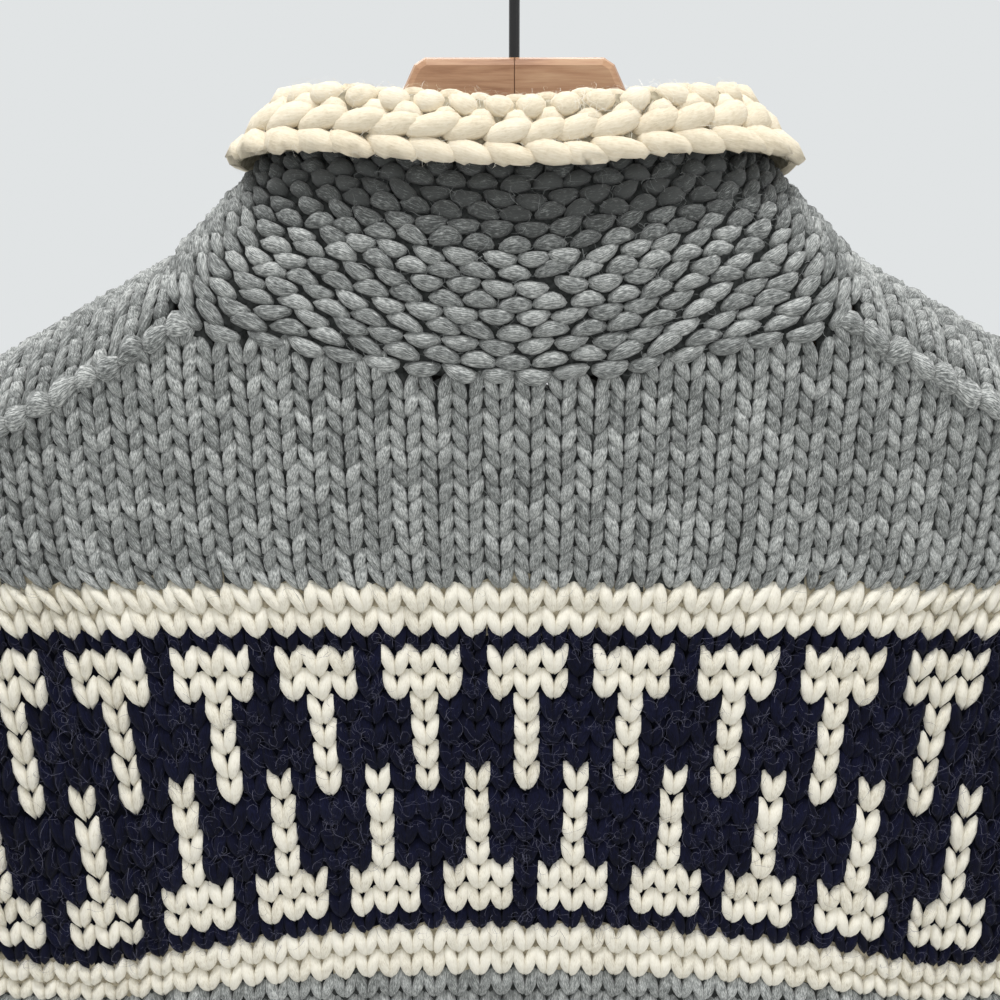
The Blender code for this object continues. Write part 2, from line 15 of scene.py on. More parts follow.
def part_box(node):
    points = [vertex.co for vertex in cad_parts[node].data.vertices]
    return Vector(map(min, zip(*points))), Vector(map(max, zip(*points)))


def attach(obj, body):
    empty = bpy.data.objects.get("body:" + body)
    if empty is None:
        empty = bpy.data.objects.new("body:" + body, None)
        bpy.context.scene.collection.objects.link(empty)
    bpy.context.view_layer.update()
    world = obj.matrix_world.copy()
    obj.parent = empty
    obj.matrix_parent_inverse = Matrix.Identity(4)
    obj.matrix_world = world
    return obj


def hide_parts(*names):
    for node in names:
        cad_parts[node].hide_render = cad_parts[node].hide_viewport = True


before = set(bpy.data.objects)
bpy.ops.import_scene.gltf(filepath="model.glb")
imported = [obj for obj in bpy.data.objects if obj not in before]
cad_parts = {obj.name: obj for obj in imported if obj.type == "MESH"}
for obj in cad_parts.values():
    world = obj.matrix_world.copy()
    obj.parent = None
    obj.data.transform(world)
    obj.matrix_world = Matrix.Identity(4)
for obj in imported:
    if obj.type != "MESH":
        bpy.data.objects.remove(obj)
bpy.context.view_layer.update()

log = logging.getLogger("cardigan")
MM = 0.001
Array = np.ndarray
Surface = Callable[[Array, Array], Array]
Socket = bpy.types.NodeSocket


class NeckRow(NamedTuple):
    """A place on the neck seam: t round it, x, and q along the cloth from the shoulder's ridge."""

    t: float
    x: float
    q: float


class FoldRow(NamedTuple):
    """A place on the collar's fold."""

    t: float
    x: float
    y: float
    z: float


class FlapRow(NamedTuple):
    """The length of the collar's turned edge in mm, from the fold to its free edge."""

    t: float
    length: float


class DroopRow(NamedTuple):
    """How far the rows at a height hang lower beside the centre than at it."""

    z: float
    droop: float


class WaveRow(NamedTuple):
    """A soft trough or ridge that the cloth's weight pulls below the yoke."""

    x: float
    width: float
    depth: float
    start: float


class SleeveRow(NamedTuple):
    """A ring across a sleeve: its body side, its outer side and its half depth."""

    inner_x: float
    inner_z: float
    outer_x: float
    outer_z: float
    depth: float


class WidthRow(NamedTuple):
    """The width of a stitch at the centre of the back."""

    z: float
    width: float


class KnitZone(NamedTuple):
    """Rows of one height and colour plan, counted down from the neck seam."""

    plan: str
    rows: int
    height: float


class EdgeRow(NamedTuple):
    """The cream edge's middle: d down the stand from the fold and n out from it, by the share r."""

    r: float
    d: float
    n: float


class BumpRow(NamedTuple):
    """A row of bumps on the cream edge: its shift in stitches, its place and its height in mm."""

    shift: float
    v: float
    tall: float


class Side(Enum):
    """The garment's sides, with the sign of x there."""

    LEFT = 1.0
    RIGHT = -1.0

    @property
    def label(self) -> str:
        """The side's word in the pieces' names."""
        return self.name.lower()


def smooth(at: Array, keys: Array, values: Array) -> Array:
    """Reads a smooth curve through a table that doesn't overshoot between its rows.

    Args:
        at: Where to read it.
        keys: The table's keys.
        values: The table's values.

    Returns:
        The curve's values.
    """
    order = np.argsort(keys)
    keys, values = keys[order], values[order]
    steps = np.diff(values) / np.diff(keys)
    before = np.concatenate([steps[:1], steps])
    after = np.concatenate([steps, steps[-1:]])
    slopes = np.where(before * after > 0.0, 2.0 * before * after / (before + after + 1e-12), 0.0)
    at = np.clip(at, keys[0], keys[-1])
    i = np.clip(np.searchsorted(keys, at) - 1, 0, len(keys) - 2)
    span = keys[i + 1] - keys[i]
    s = (at - keys[i]) / span
    rise = values[i + 1] - values[i]
    first, last = slopes[i] * span, slopes[i + 1] * span
    return values[i] + s * (first + s * (3.0 * rise - 2.0 * first - last + s * (first + last - 2.0 * rise)))


def eased(share: Array) -> Array:
    """A share held between 0 and 1, with a soft start and end."""
    share = np.clip(share, 0.0, 1.0)
    return share * share * (3.0 - 2.0 * share)


def read(rows: tuple, key: str, name: str, at: Array) -> Array:
    """Reads one named column of a table smoothly.

    Args:
        rows: The table.
        key: Its column of keys.
        name: The column that is read.
        at: Where to read it.

    Returns:
        The values.
    """
    keys = np.array([getattr(row, key) for row in rows], float)
    values = np.array([getattr(row, name) for row in rows], float)
    return smooth(np.asarray(at, float), keys, values)


@dataclass
class Torso:
    """The torso's form, hung flat over the hanger, in millimetres."""

    half_width: float = 262.0
    half_depth: float = 48.0
    crown: float = 5.0
    side_round: float = 46.0
    shoulder_x: float = 125.0
    shoulder_z: float = -152.0
    slope: float = 0.55
    roll: float = 40.0
    seam_q: float = 54.0
    underarm_z: float = -455.0
    underarm_blend: float = 45.0
    welt_z: float = -775.0
    hem_z: float = -840.0
    welt_draw: float = 0.97
    zip_edge: float = 7.0
    wave_run: float = 160.0      # a wave reaches its full depth this far below its start
    flat_strip: float = 20.0     # no waves this near the zip
    droop_reach: float = 130.0   # the distance from the centre at which the rows hang by the table
    droop_most: float = 1.6      # and the most that it grows beyond that
    side_hold: float = 0.4       # how much of it the closed side seams take away
    draw_above: float = 25.0     # the welt starts to draw the cloth in this far above its top
    draw_run: float = 60.0
    neck: tuple = (
        NeckRow(0.00, 0.0, 140.5),
        NeckRow(0.12, 38.0, 115.7),
        NeckRow(0.24, 78.0, 85.5),
        NeckRow(0.36, 115.0, 56.0),
        NeckRow(0.43, 125.0, 32.0),
        NeckRow(0.50, 127.0, 0.0),
        NeckRow(0.58, 124.0, -40.0),
        NeckRow(0.68, 107.0, -84.0),
        NeckRow(0.80, 72.0, -134.0),
        NeckRow(0.90, 38.0, -174.0),
        NeckRow(1.00, 7.0, -203.0),
    )
    droop: tuple = (
        DroopRow(-840.0, 6.0),
        DroopRow(-560.0, 9.0),
        DroopRow(-400.0, 12.0),
        DroopRow(-290.0, 1.0),
        DroopRow(-200.0, 0.0),
    )
    waves: tuple = (
        WaveRow(-205.0, 30.0, -5.0, -330.0),
        WaveRow(-118.0, 38.0, 3.5, -470.0),
        WaveRow(62.0, 34.0, -4.0, -520.0),
        WaveRow(150.0, 30.0, 3.0, -450.0),
        WaveRow(208.0, 28.0, -5.5, -350.0),
    )

    def ridge(self, x: Array) -> Array:
        """The height of the shoulder's ridge."""
        return self.shoulder_z - self.slope * (np.abs(x) - self.shoulder_x)

    def extra(self) -> float:
        """The cloth's length over the ridge's rounding, past its drop."""
        return self.roll * (math.pi / 2.0 - 1.0)

    def q_of(self, x: Array, f: Array, side: float) -> Array:
        """The distance along the cloth from the ridge, from a height f on the flat cloth."""
        return side * (self.ridge(x) + self.extra() - f)

    def at(self, x: Array, q: Array) -> Array:
        """Points of the torso's outer face.

        Args:
            x: Distance from the centre, positive on the garment's left.
            q: Distance along the cloth from the ridge, positive on the back.

        Returns:
            The points, in millimetres.
        """
        quarter = self.roll * math.pi / 2.0
        turn = np.clip(q / self.roll, -math.pi / 2.0, math.pi / 2.0)
        beyond = np.maximum(np.abs(q) - quarter, 0.0)
        z = self.ridge(x) - self.roll * (1.0 - np.cos(turn)) - beyond
        side = np.clip((np.abs(x) - (self.half_width - self.side_round)) / self.side_round, 0.0, 1.0)
        closed = self.closed(z)
        oval = 1.0 - closed * (1.0 - np.sqrt(np.maximum(1.0 - side * side, 0.0)))
        depth = self.half_depth - self.crown * (x / self.half_width) ** 2
        face = np.sign(q) * (1.0 - side)
        face = face * np.clip((np.abs(x) - self.flat_strip) / self.flat_strip, 0.0, 1.0)
        wave = np.zeros_like(z)
        for row in self.waves:
            grown = np.clip((row.start - z) / self.wave_run, 0.0, 1.0)
            wave = wave + row.depth * grown * np.exp(-(((x - row.x) / row.width) ** 2))
        y = depth * np.sin(turn) * oval + wave * face
        reach = np.minimum((x / self.droop_reach) ** 2, self.droop_most)
        droop = read(self.droop, "z", "droop", z) * reach
        drawn = eased((self.welt_z + self.draw_above - z) / self.draw_run)
        narrow = 1.0 - (1.0 - self.welt_draw) * drawn
        return np.stack([x * narrow, y, z - droop * (1.0 - closed * self.side_hold)], axis=-1)

    def closed(self, z: Array) -> Array:
        """How far the sides are closed: 0 beside the armholes, 1 below the underarm."""
        return eased((self.underarm_z + self.underarm_blend - z) / self.underarm_blend)

    def neck_at(self, t: Array) -> tuple[Array, Array]:
        """The neck seam's x and q, for t from -1 to 1."""
        away = np.abs(t)
        return np.sign(t) * read(self.neck, "t", "x", away), read(self.neck, "t", "q", away)

    def neck_width(self, q: Array) -> Array:
        """Half the width of the neck's hole at a distance q from the ridge."""
        width = read(self.neck, "q", "x", q)
        return np.where((q > self.neck[0].q) | (q < self.neck[-1].q), -1.0, width)


@dataclass
class Knit:
    """How stitches lie on a panel: their widths from the centre, their rows and their colours."""

    torso: Torso
    stitches: int = 29           # from the centre to the side seam
    side_arc: float = 47.0       # the radius by which stitches run round the side
    neck_z: float = -200.3
    widths: tuple = (
        WidthRow(-840.0, 9.6),
        WidthRow(-600.0, 9.6),
        WidthRow(-470.0, 9.0),
        WidthRow(-430.0, 8.9),
        WidthRow(-390.0, 9.1),
        WidthRow(-310.0, 9.8),
        WidthRow(-285.0, 10.2),
        WidthRow(-265.0, 10.9),
        WidthRow(-200.0, 11.3),
    )
    zones: tuple = (
        KnitZone("grey", 12, 6.35),
        KnitZone("cream", 2, 9.2),
        KnitZone("navy", 1, 5.6),
        KnitZone("chart", 6, 9.3),
        KnitZone("chart", 1, 11.6),
        KnitZone("chart", 4, 9.8),
        KnitZone("navy", 1, 7.4),
        KnitZone("cream", 2, 10.2),
        KnitZone("grey", 37, 9.2),
    )
    above: int = 27
    above_height: float = 6.35

    def rows(self) -> tuple[Array, list[str]]:
        """Lists the rows.

        Returns:
            The heights of all the row lines from the top down, and each row's plan.
        """
        heights = [self.above_height] * self.above
        plans = ["grey"] * self.above
        for zone in self.zones:
            heights += [zone.height] * zone.rows
            plans += [zone.plan] * zone.rows
        top = self.neck_z + self.above * self.above_height
        return top - np.concatenate([[0.0], np.cumsum(heights)]), plans

    def x_of(self, u: Array, f: Array) -> Array:
        """The distance from the centre of a place u stitches from it.

        Args:
            u: Stitches from the centre.
            f: The height on the flat cloth.

        Returns:
            The distance, in millimetres.
        """
        torso = self.torso
        flat = torso.half_width - torso.side_round
        whole = flat + self.side_arc * math.pi / 2.0
        width = read(self.widths, "z", "width", f)
        share = np.abs(u) / self.stitches
        reach = np.abs(u) * width + (whole - self.stitches * width) * share ** 5
        turned = np.clip((reach - flat) / self.side_arc, 0.0, math.pi / 2.0)
        closed = torso.closed(f)
        round_it = np.sin(turned) * closed + turned / (math.pi / 2.0) * (1.0 - closed)
        return np.sign(u) * np.where(reach > flat, flat + torso.side_round * round_it, reach)

    def surface(self, side: float) -> Surface:
        """The outer face of one side.

        Args:
            side: 1 for the back, -1 for the fronts.

        Returns:
            The face, from u in stitches and f in millimetres.
        """

        def face(u: Array, f: Array) -> Array:
            """Points of the face."""
            x = self.x_of(u, f)
            return self.torso.at(x, self.torso.q_of(x, f, side))

        return face


@dataclass
class Collar:
    """The collar's form: the grey stand and the cream edge that is turned over its fold."""

    torso: Torso
    bulge_back: float = 4.0
    bulge_side: float = -1.5
    ridge_t: float = 0.5         # where the shoulder's ridge meets the seam
    edge_start: float = 0.90
    fold: tuple = (
        FoldRow(0.00, 0.0, 38.0, -107.5),
        FoldRow(0.12, 27.0, 37.5, -105.5),
        FoldRow(0.24, 51.0, 33.0, -103.5),
        FoldRow(0.36, 70.5, 21.0, -102.5),
        FoldRow(0.50, 79.5, 0.0, -105.0),
        FoldRow(0.64, 76.0, -21.0, -121.0),
        FoldRow(0.80, 56.0, -38.0, -146.0),
        FoldRow(1.00, 24.0, -48.0, -183.0),
    )
    flap: tuple = (
        FlapRow(0.00, 21.0),
        FlapRow(0.24, 22.0),
        FlapRow(0.50, 34.0),
        FlapRow(0.75, 30.0),
        FlapRow(1.00, 24.0),
    )

    def at(self, t: Array, w: Array) -> Array:
        """Points of the stand's outer face.

        Args:
            t: Round it, from -1 to 1.
            w: Up from the seam, 0, to the fold, 1.

        Returns:
            The points, in millimetres.
        """
        x, q = self.torso.neck_at(t)
        base = self.torso.at(x, q)
        top = self.fold_at(t)
        out = (base + top) / 2.0
        out[..., 2] = 0.0
        out = out / np.linalg.norm(out, axis=-1, keepdims=True)
        sideways = np.minimum(np.abs(t) / self.ridge_t, 1.0) ** 2
        swell = (self.bulge_back + (self.bulge_side - self.bulge_back) * sideways) * np.sin(math.pi * w)
        w = np.asarray(w)[..., None]
        return base * (1.0 - w) + top * w + out * swell[..., None]

    def fold_at(self, t: Array) -> Array:
        """The stand's outer face at the fold.

        Args:
            t: Where round the collar, from -1 to 1.

        Returns:
            The points.
        """
        away = np.abs(t)
        x = np.sign(t) * read(self.fold, "t", "x", away)
        return np.stack([x, read(self.fold, "t", "y", away), read(self.fold, "t", "z", away)], axis=-1)

    def length(self, t: Array) -> Array:
        """The stand's length from seam to fold."""
        x, q = self.torso.neck_at(t)
        return np.linalg.norm(self.torso.at(x, q) - self.fold_at(t), axis=-1)

    def even(self, w: float, count: int) -> Array:
        """Even places round the collar.

        Args:
            w: The height at which they are even.
            count: How many steps they make.

        Returns:
            Count + 1 values of t.
        """
        t = np.linspace(-1.0, 1.0, 801)
        points = self.at(t, np.full_like(t, w))
        run = np.concatenate([[0.0], np.cumsum(np.linalg.norm(np.diff(points, axis=0), axis=1))])
        return np.interp(np.linspace(0.0, run[-1], count + 1), run, t)


def normals(surface: Surface, a: Array, b: Array, step_a: float = 0.05, step_b: float = 0.3) -> Array:
    """Unit normals of a surface, from its slopes.

    Args:
        surface: The face.
        a: Where, in the face's first number.
        b: Where, in its second number.
        step_a: The step to each side in the first number.
        step_b: The step to each side in the second number.

    Returns:
        The normals.
    """
    along = surface(a + step_a, b) - surface(a - step_a, b)
    across = surface(a, b + step_b) - surface(a, b - step_b)
    normal = np.cross(along, across)
    return normal / np.maximum(np.linalg.norm(normal, axis=-1, keepdims=True), 1e-9)


def facing(surface: Surface, a: float, b: float, side: float = 1.0) -> float:
    """Which way a surface's computed normals have to be turned to point outwards.

    Args:
        surface: The face.
        a: A place on it, in its first number.
        b: The same place's second number, in mm or as a share under 1.
        side: 1 where the outside is the back there, -1 where it is the front.

    Returns:
        1 or -1.
    """
    step = 0.0005 if abs(b) < 1.0 else 0.1
    normal = normals(surface, np.array([a]), np.array([b]), 0.01, step)
    return 1.0 if normal[0, 1] * side > 0.0 else -1.0


def linear(code: str) -> tuple[float, float, float, float]:
    """Turns an sRGB hex colour into linear RGBA.

    Args:
        code: The colour, such as #1A2B3C.

    Returns:
        Its red, green, blue and alpha.
    """
    parts = [int(code[i:i + 2], 16) / 255.0 for i in (1, 3, 5)]
    red, green, blue = (c / 12.92 if c <= 0.04045 else ((c + 0.055) / 1.055) ** 2.4 for c in parts)
    return red, green, blue, 1.0


def connect(tree: bpy.types.NodeTree, node: bpy.types.Node, **links: object) -> bpy.types.Node:
    """Links or sets a node's inputs.

    Args:
        tree: The node tree.
        node: The node.
        **links: Input names, with _ for a space or i before a number, and a socket or a value.

    Returns:
        The node.
    """
    for name, value in links.items():
        numbered = name[0] == "i" and name[1:].isdigit()
        socket = node.inputs[int(name[1:]) if numbered else name.replace("_", " ")]
        if isinstance(value, bpy.types.NodeSocket):
            tree.links.new(value, socket)
        else:
            socket.default_value = value
    return node


def add(tree: bpy.types.NodeTree, kind: str, settings: dict | None = None, **links: object) -> bpy.types.Node:
    """Adds a node with its settings and inputs.

    Args:
        tree: The node tree.
        kind: The node's type name.
        settings: Attributes of the node.
        **links: Inputs, as connect takes them.

    Returns:
        The new node.
    """
    node = tree.nodes.new(kind)
    for name, value in (settings or {}).items():
        setattr(node, name, value)
    return connect(tree, node, **links)


def multiply_add(tree: bpy.types.NodeTree, value: Socket, factor: float, plus: float | Socket) -> Socket:
    """The socket of value times factor plus plus."""
    settings = {"operation": "MULTIPLY_ADD"}
    return add(tree, "ShaderNodeMath", settings, i0=value, i1=factor, i2=plus).outputs[0]


def object_place(tree: bpy.types.NodeTree) -> Socket:
    """The socket of the place on the object, in metres."""
    return add(tree, "ShaderNodeTexCoord").outputs["Object"]


def noise(tree: bpy.types.NodeTree, **links: object) -> Socket:
    """The socket of a noise with those inputs."""
    return add(tree, "ShaderNodeTexNoise", **links).outputs["Fac"]


def bands(tree: bpy.types.NodeTree, direction: str, **links: object) -> Socket:
    """The socket of a wave texture's bands with those inputs."""
    settings = {"wave_type": "BANDS", "bands_direction": direction}
    return add(tree, "ShaderNodeTexWave", settings, **links).outputs["Fac"]


def bump(tree: bpy.types.NodeTree, height: Socket, strength: float, distance: float,
         **links: object) -> Socket:
    """The normal of a bump that is distance metres deep at full strength."""
    links |= {"Height": height, "Strength": strength, "Distance": distance}
    return add(tree, "ShaderNodeBump", **links).outputs[0]


def ramp(tree: bpy.types.NodeTree, fac: Socket, stops: list[tuple[float, str]]) -> Socket:
    """A colour ramp.

    Args:
        tree: The node tree.
        fac: The socket that drives it.
        stops: Its places and sRGB hex colours.

    Returns:
        The colour's socket.
    """
    node = add(tree, "ShaderNodeValToRGB", i0=fac)
    while len(node.color_ramp.elements) < len(stops):
        node.color_ramp.elements.new(0.5)
    for element, (place, code) in zip(node.color_ramp.elements, stops):
        element.position = place
        element.color = linear(code)
    return node.outputs["Color"]


def new_material(name: str) -> tuple[bpy.types.Material, bpy.types.NodeTree, bpy.types.Node]:
    """Makes a material.

    Args:
        name: Its name.

    Returns:
        The material, its node tree and its Principled shader.
    """
    made = bpy.data.materials.new(name)
    made.use_nodes = True
    tree = made.node_tree
    return made, tree, tree.nodes["Principled BSDF"]


@dataclass(frozen=True)
class Wool:
    """A bulky, softly twisted wool yarn: matt, with a fine halo and a tone that varies by stitch."""

    name: str
    dark: str
    middle: str
    light: str
    ply_depth: float = 0.5
    sheen: float = 0.15
    contrast: float = 1.05
    level: float = -0.235
    slot: str = "grey_wool"

    def material(self) -> bpy.types.Material:
        """The yarn's material, whose twist follows the stitch's own UV map.

        Returns:
            The material.
        """
        made, tree, shader = new_material(self.name)
        uv = add(tree, "ShaderNodeUVMap", {"uv_map": "yarn"}).outputs["UV"]
        # shade: each stitch's random tone, with painted shadow added on the collar stand's top rows
        shade = add(tree, "ShaderNodeAttribute", {"attribute_name": "shade"}).outputs["Fac"]
        shifted = add(tree, "ShaderNodeCombineXYZ", X=shade, Y=0.0, Z=shade).outputs[0]
        around = add(tree, "ShaderNodeVectorMath", {"operation": "ADD"}, i0=uv, i1=shifted).outputs[0]
        # plies: the yarn's twist, drawn as diagonal bands round it
        plies = bands(tree, "DIAGONAL", Vector=around, Scale=1.0, Distortion=2.2, Detail=2.0,
                      Detail_Scale=1.5)
        # single fibres are 0.03 mm; drawn about 0.3 mm wide so that they show
        stretched = add(tree, "ShaderNodeMapping", Vector=around, Scale=(2.6, 17.0, 1.0),
                        Rotation=(0.0, 0.0, 0.55)).outputs[0]
        fibres = noise(tree, Vector=stretched, Scale=3.2, Detail=4.0, Roughness=0.65)
        speck = noise(tree, Vector=object_place(tree), Scale=420.0, Detail=3.0, Roughness=0.6)
        tone = multiply_add(tree, fibres, self.contrast, multiply_add(tree, shade, 0.12, self.level))
        tone = multiply_add(tree, speck, 0.3, tone)
        colour = ramp(tree, tone, [(0.30, self.dark), (0.50, self.middle), (0.72, self.light)])
        low = bump(tree, plies, self.ply_depth, 0.0007)
        high = bump(tree, fibres, 0.65, 0.0004, Normal=low)
        connect(tree, shader, Base_Color=colour, Normal=high, Roughness=0.95, Specular_IOR_Level=0.15,
                Sheen_Weight=self.sheen, Sheen_Roughness=0.6)
        return made


@dataclass(frozen=True)
class Backing:
    """The inner side of the cloth between and behind the stitches: the same wool, painted darker than its
    yarn as shade, for it lies low and in shadow.
    """

    name: str
    dark: str
    light: str
    slot: str = "grey_wool"

    def material(self) -> bpy.types.Material:
        """The backing's material, with purl loops as bump.

        Returns:
            The material.
        """
        made, tree, shader = new_material(self.name)
        place = object_place(tree)
        loops = bands(tree, "Z", Vector=place, Scale=36.0, Distortion=3.0, Detail=2.0, Detail_Scale=4.0)
        speck = noise(tree, Vector=place, Scale=520.0, Detail=4.0)
        colour = ramp(tree, speck, [(0.35, self.dark), (0.65, self.light)])
        connect(tree, shader, Base_Color=colour, Normal=bump(tree, loops, 0.8, 0.002), Roughness=0.97,
                Specular_IOR_Level=0.1)
        return made


class Finish(Enum):
    """The finishes of the knitting."""

    GREY = Wool("heather grey bulky wool", "#474948", "#838684", "#CFD1CE", contrast=1.2, level=-0.31)
    CREAM = Wool("undyed cream bulky wool", "#C0B8A4", "#E6E1D2", "#F1EDE1", 0.4, 0.1, 0.7, -0.06,
                 "cream_wool")
    CREAM_SOFT = Wool("soft cream edge wool", "#CDBFA4", "#E3D7BF", "#EDE4D1", 0.25, 0.1, 0.6, -0.01,
                      "cream_wool")
    NAVY = Wool("navy bulky wool", "#02030E", "#05071D", "#11142E", 0.5, 0.02)
    GREY_HAIR = Wool("grey wool hair", "#767978", "#8E9190", "#A6A8A7", 0.0, 0.0)
    CREAM_HAIR = Wool("cream wool hair", "#D8D2C2", "#E8E3D6", "#F3F0E6", 0.0, 0.0, slot="cream_wool")
    NAVY_HAIR = Wool("navy wool hair", "#3A3B4C", "#57576A", "#7E7E90", 0.0, 0.0)
    # painted shade: the purl sides' colours are darker than their yarns', for the shadow between and behind
    # the stitches
    GREY_BACK = Backing("grey wool purl side in painted shade", "#2C2E2D", "#474948")
    CREAM_BACK = Backing("cream wool purl side in painted shade", "#8F8773", "#B3AA95", "cream_wool")
    NAVY_BACK = Backing("navy wool purl side in painted shade", "#02030A", "#050714")


MATERIALS: dict[Finish, bpy.types.Material] = {}


def material_of(finish: Finish) -> bpy.types.Material:
    """The material of a finish, made once.

    Args:
        finish: The finish.

    Returns:
        The material.
    """
    if finish not in MATERIALS:
        MATERIALS[finish] = finish.value.material()
    return MATERIALS[finish]


@dataclass(frozen=True)
class Template:
    """A plump closed bead of yarn: places along it, the turn round it and its triangles."""

    along: Array
    turn: Array
    side: Array
    out: Array
    triangles: Array

    @staticmethod
    def make(sides: int, rings: int) -> "Template":
        """Makes the bead from a sphere.

        Args:
            sides: The sphere's sides.
            rings: The sphere's rings.

        Returns:
            The bead.
        """
        mesh = bmesh.new()
        bmesh.ops.create_uvsphere(mesh, u_segments=sides, v_segments=rings, radius=1.0)
        bmesh.ops.triangulate(mesh, faces=mesh.faces)
        points = np.array([vert.co for vert in mesh.verts])
        triangles = np.array([[vert.index for vert in face.verts] for face in mesh.faces])
        mesh.free()
        along = 0.5 - np.arcsin(np.clip(points[:, 2], -1.0, 1.0)) / math.pi
        radial = np.hypot(points[:, 0], points[:, 1])
        safe = np.maximum(radial, 1e-6)
        side = np.where(radial > 1e-5, points[:, 0] / safe, 0.0)
        out = np.where(radial > 1e-5, points[:, 1] / safe, 0.0)
        turn = np.arctan2(side, out) / (2.0 * math.pi) + 0.5
        return Template(1.0 - along, turn, side, out, triangles)

    def belly(self) -> Array:
        """How thick the yarn is along the bead, 1 at its middle and nearly 0 at its ends."""
        return np.sin(math.pi * (0.04 + 0.92 * self.along))


FINE = Template.make(7, 7)
COARSE = Template.make(4, 4)


@dataclass
class Places:
    """Where beads go: u and v on the surface, the hand of the leg, size along and across, and a shade."""

    u: Array
    v: Array
    hand: Array
    wide: Array
    tall: Array
    shade: Array
    deep: Array
    tilt: Array | None = None

    def columns(self) -> tuple[Array, Array, Array]:
        """The hand, width and height of each bead, as columns."""
        return self.hand[:, None], self.wide[:, None], self.tall[:, None]


class Form(NamedTuple):
    """Where beads' points lie from their places: along the row, up the cloth, and out from its face."""

    across: Array
    up: Array
    out: Array


@dataclass(frozen=True)
class Leg:
    """The leg of a V, from its foot to its head, which lies under the next row."""

    base: float = 8.4            # its length in mm, the hidden ends included, beside its row's share
    rise: float = 0.70           # and for each millimetre of its row's height
    start: float = -0.12         # its foot's place, in rows
    thin: float = 0.121          # its radius in stitches, beside its row's share
    swell: float = 0.0182        # and for each millimetre of its row's height
    flatness: float = 0.85
    depth: float = -2.6          # its belly's middle from the cloth's face, in mm
    belly_at: float = 0.38       # where its belly is, as a share of its length
    foot_sink: float = 1.3       # depth of its lower end below its belly, in mm
    head_sink: float = 3.4       # and of its upper end
    low_row: float = 6.35        # rows this low have steep legs
    open_rows: float = 2.9       # rows higher by this much have legs that lean out fully

    def form(self, bead: Template, places: Places) -> Form:
        """The legs' form.

        Args:
            bead: The template.
            places: Where they are.

        Returns:
            The form.
        """
        hand, wide, tall = places.columns()
        s = bead.along
        spread = np.clip((tall - self.low_row) / self.open_rows, 0.0, 1.0)
        steep = 1.0 - spread
        taper = bead.belly() ** (0.8 - 0.1 * (1.0 - hand) * steep)
        thick = wide * (self.thin + self.swell * tall) * taper
        lean = 0.35 + 0.05 * spread + 0.06 * hand * steep
        across = hand * (0.25 - lean * 0.5 + lean * s ** 0.9) + bead.side * thick / wide
        up = s * (self.base + self.rise * tall) + self.start * tall + 0.08 * hand * bead.side * thick
        below = np.maximum(self.belly_at - s, 0.0) / self.belly_at
        above = np.maximum(s - self.belly_at, 0.0) / (1.0 - self.belly_at)
        sunk = self.foot_sink * below ** 2.2 + self.head_sink * above ** 1.9
        return Form(across, up, self.depth - sunk + bead.out * thick * self.flatness)


@dataclass(frozen=True)
class Bump:
    """The sideways bump of garter stitch, that arches up or down and dips at its ends."""

    radius: float = 0.64         # in sub-rows
    arch: float = 0.22           # how far its middle lies off its ends, in sub-rows
    start: float = -0.13
    pinch: float = 0.18          # how much thinner it looks at its ends
    flatness: float = 0.9
    depth: float = -2.2          # its middle from the cloth's face, in mm
    end_sink: float = 2.0        # depth of its ends below its middle, in mm

    def form(self, bead: Template, places: Places) -> Form:
        """The bumps' form.

        Args:
            bead: The template.
            places: Where they are.

        Returns:
            The form.
        """
        hand, wide, tall = places.columns()
        tilt = places.tilt[:, None]
        thick = (tall * self.radius) * bead.belly() ** 0.9
        along = -0.5 * np.cos(math.pi * bead.along)
        arch = 1.0 - 4.0 * along * along
        up = hand * (arch * self.arch + self.start) * tall + tilt * along * tall
        up = up + bead.side * thick * (1.0 - self.pinch * (1.0 - arch))
        out = self.depth - self.end_sink * (1.0 - arch) ** 1.5 + bead.out * thick * self.flatness
        return Form(along * wide, up, out)


@dataclass(frozen=True)
class Link:
    """The leg of a sideways V in the cream edge's chain."""

    radius: float = 4.5          # in mm
    length: float = 1.55         # in stitches
    belly_at: float = 0.35       # where its belly is, as a share of its length
    spread: float = 5.6          # its wide end's distance from the chain's middle, in mm
    narrow: float = 4.0          # how much of it is gone at its other end
    flatness: float = 0.72
    depth: float = -2.3          # its belly's middle from the cloth's face, in mm
    end_sink: float = 1.4        # depth of its ends below its belly, in mm

    def form(self, bead: Template, places: Places) -> Form:
        """The links' form.

        Args:
            bead: The template.
            places: Where they are.

        Returns:
            The form.
        """
        hand, wide, _ = places.columns()
        s = bead.along
        thick = self.radius * bead.belly() ** 0.6
        up = hand * (self.spread - self.narrow * s ** 1.1) + bead.side * thick
        sunk = self.end_sink * (np.abs(s - self.belly_at) / (1.0 - self.belly_at)) ** 2.0
        out = self.depth - sunk + bead.out * thick * self.flatness
        return Form((s - self.belly_at) * self.length * wide, up, out)


class Stitch(Enum):
    """The visible shapes of a stitch."""

    KNIT = Leg()
    PURL = Bump()
    CHAIN = Link()


def scene_object(name: str, data: bpy.types.ID) -> bpy.types.Object:
    """Makes an object of the scene from its data.

    Args:
        name: Its name.
        data: Its mesh, light or camera.

    Returns:
        The object.
    """
    made = bpy.data.objects.new(name, data)
    bpy.context.scene.collection.objects.link(made)
    return made


def from_bmesh(name: str, mesh: bmesh.types.BMesh, *materials: bpy.types.Material) -> bpy.types.Object:
    """Makes an object from a bmesh, which is freed.

    Args:
        name: The piece's name.
        mesh: Its shape, in metres.
        *materials: Its materials.

    Returns:
        The object.
    """
    data = bpy.data.meshes.new(name)
    mesh.to_mesh(data)
    mesh.free()
    for material in materials:
        data.materials.append(material)
    return scene_object(name, data)


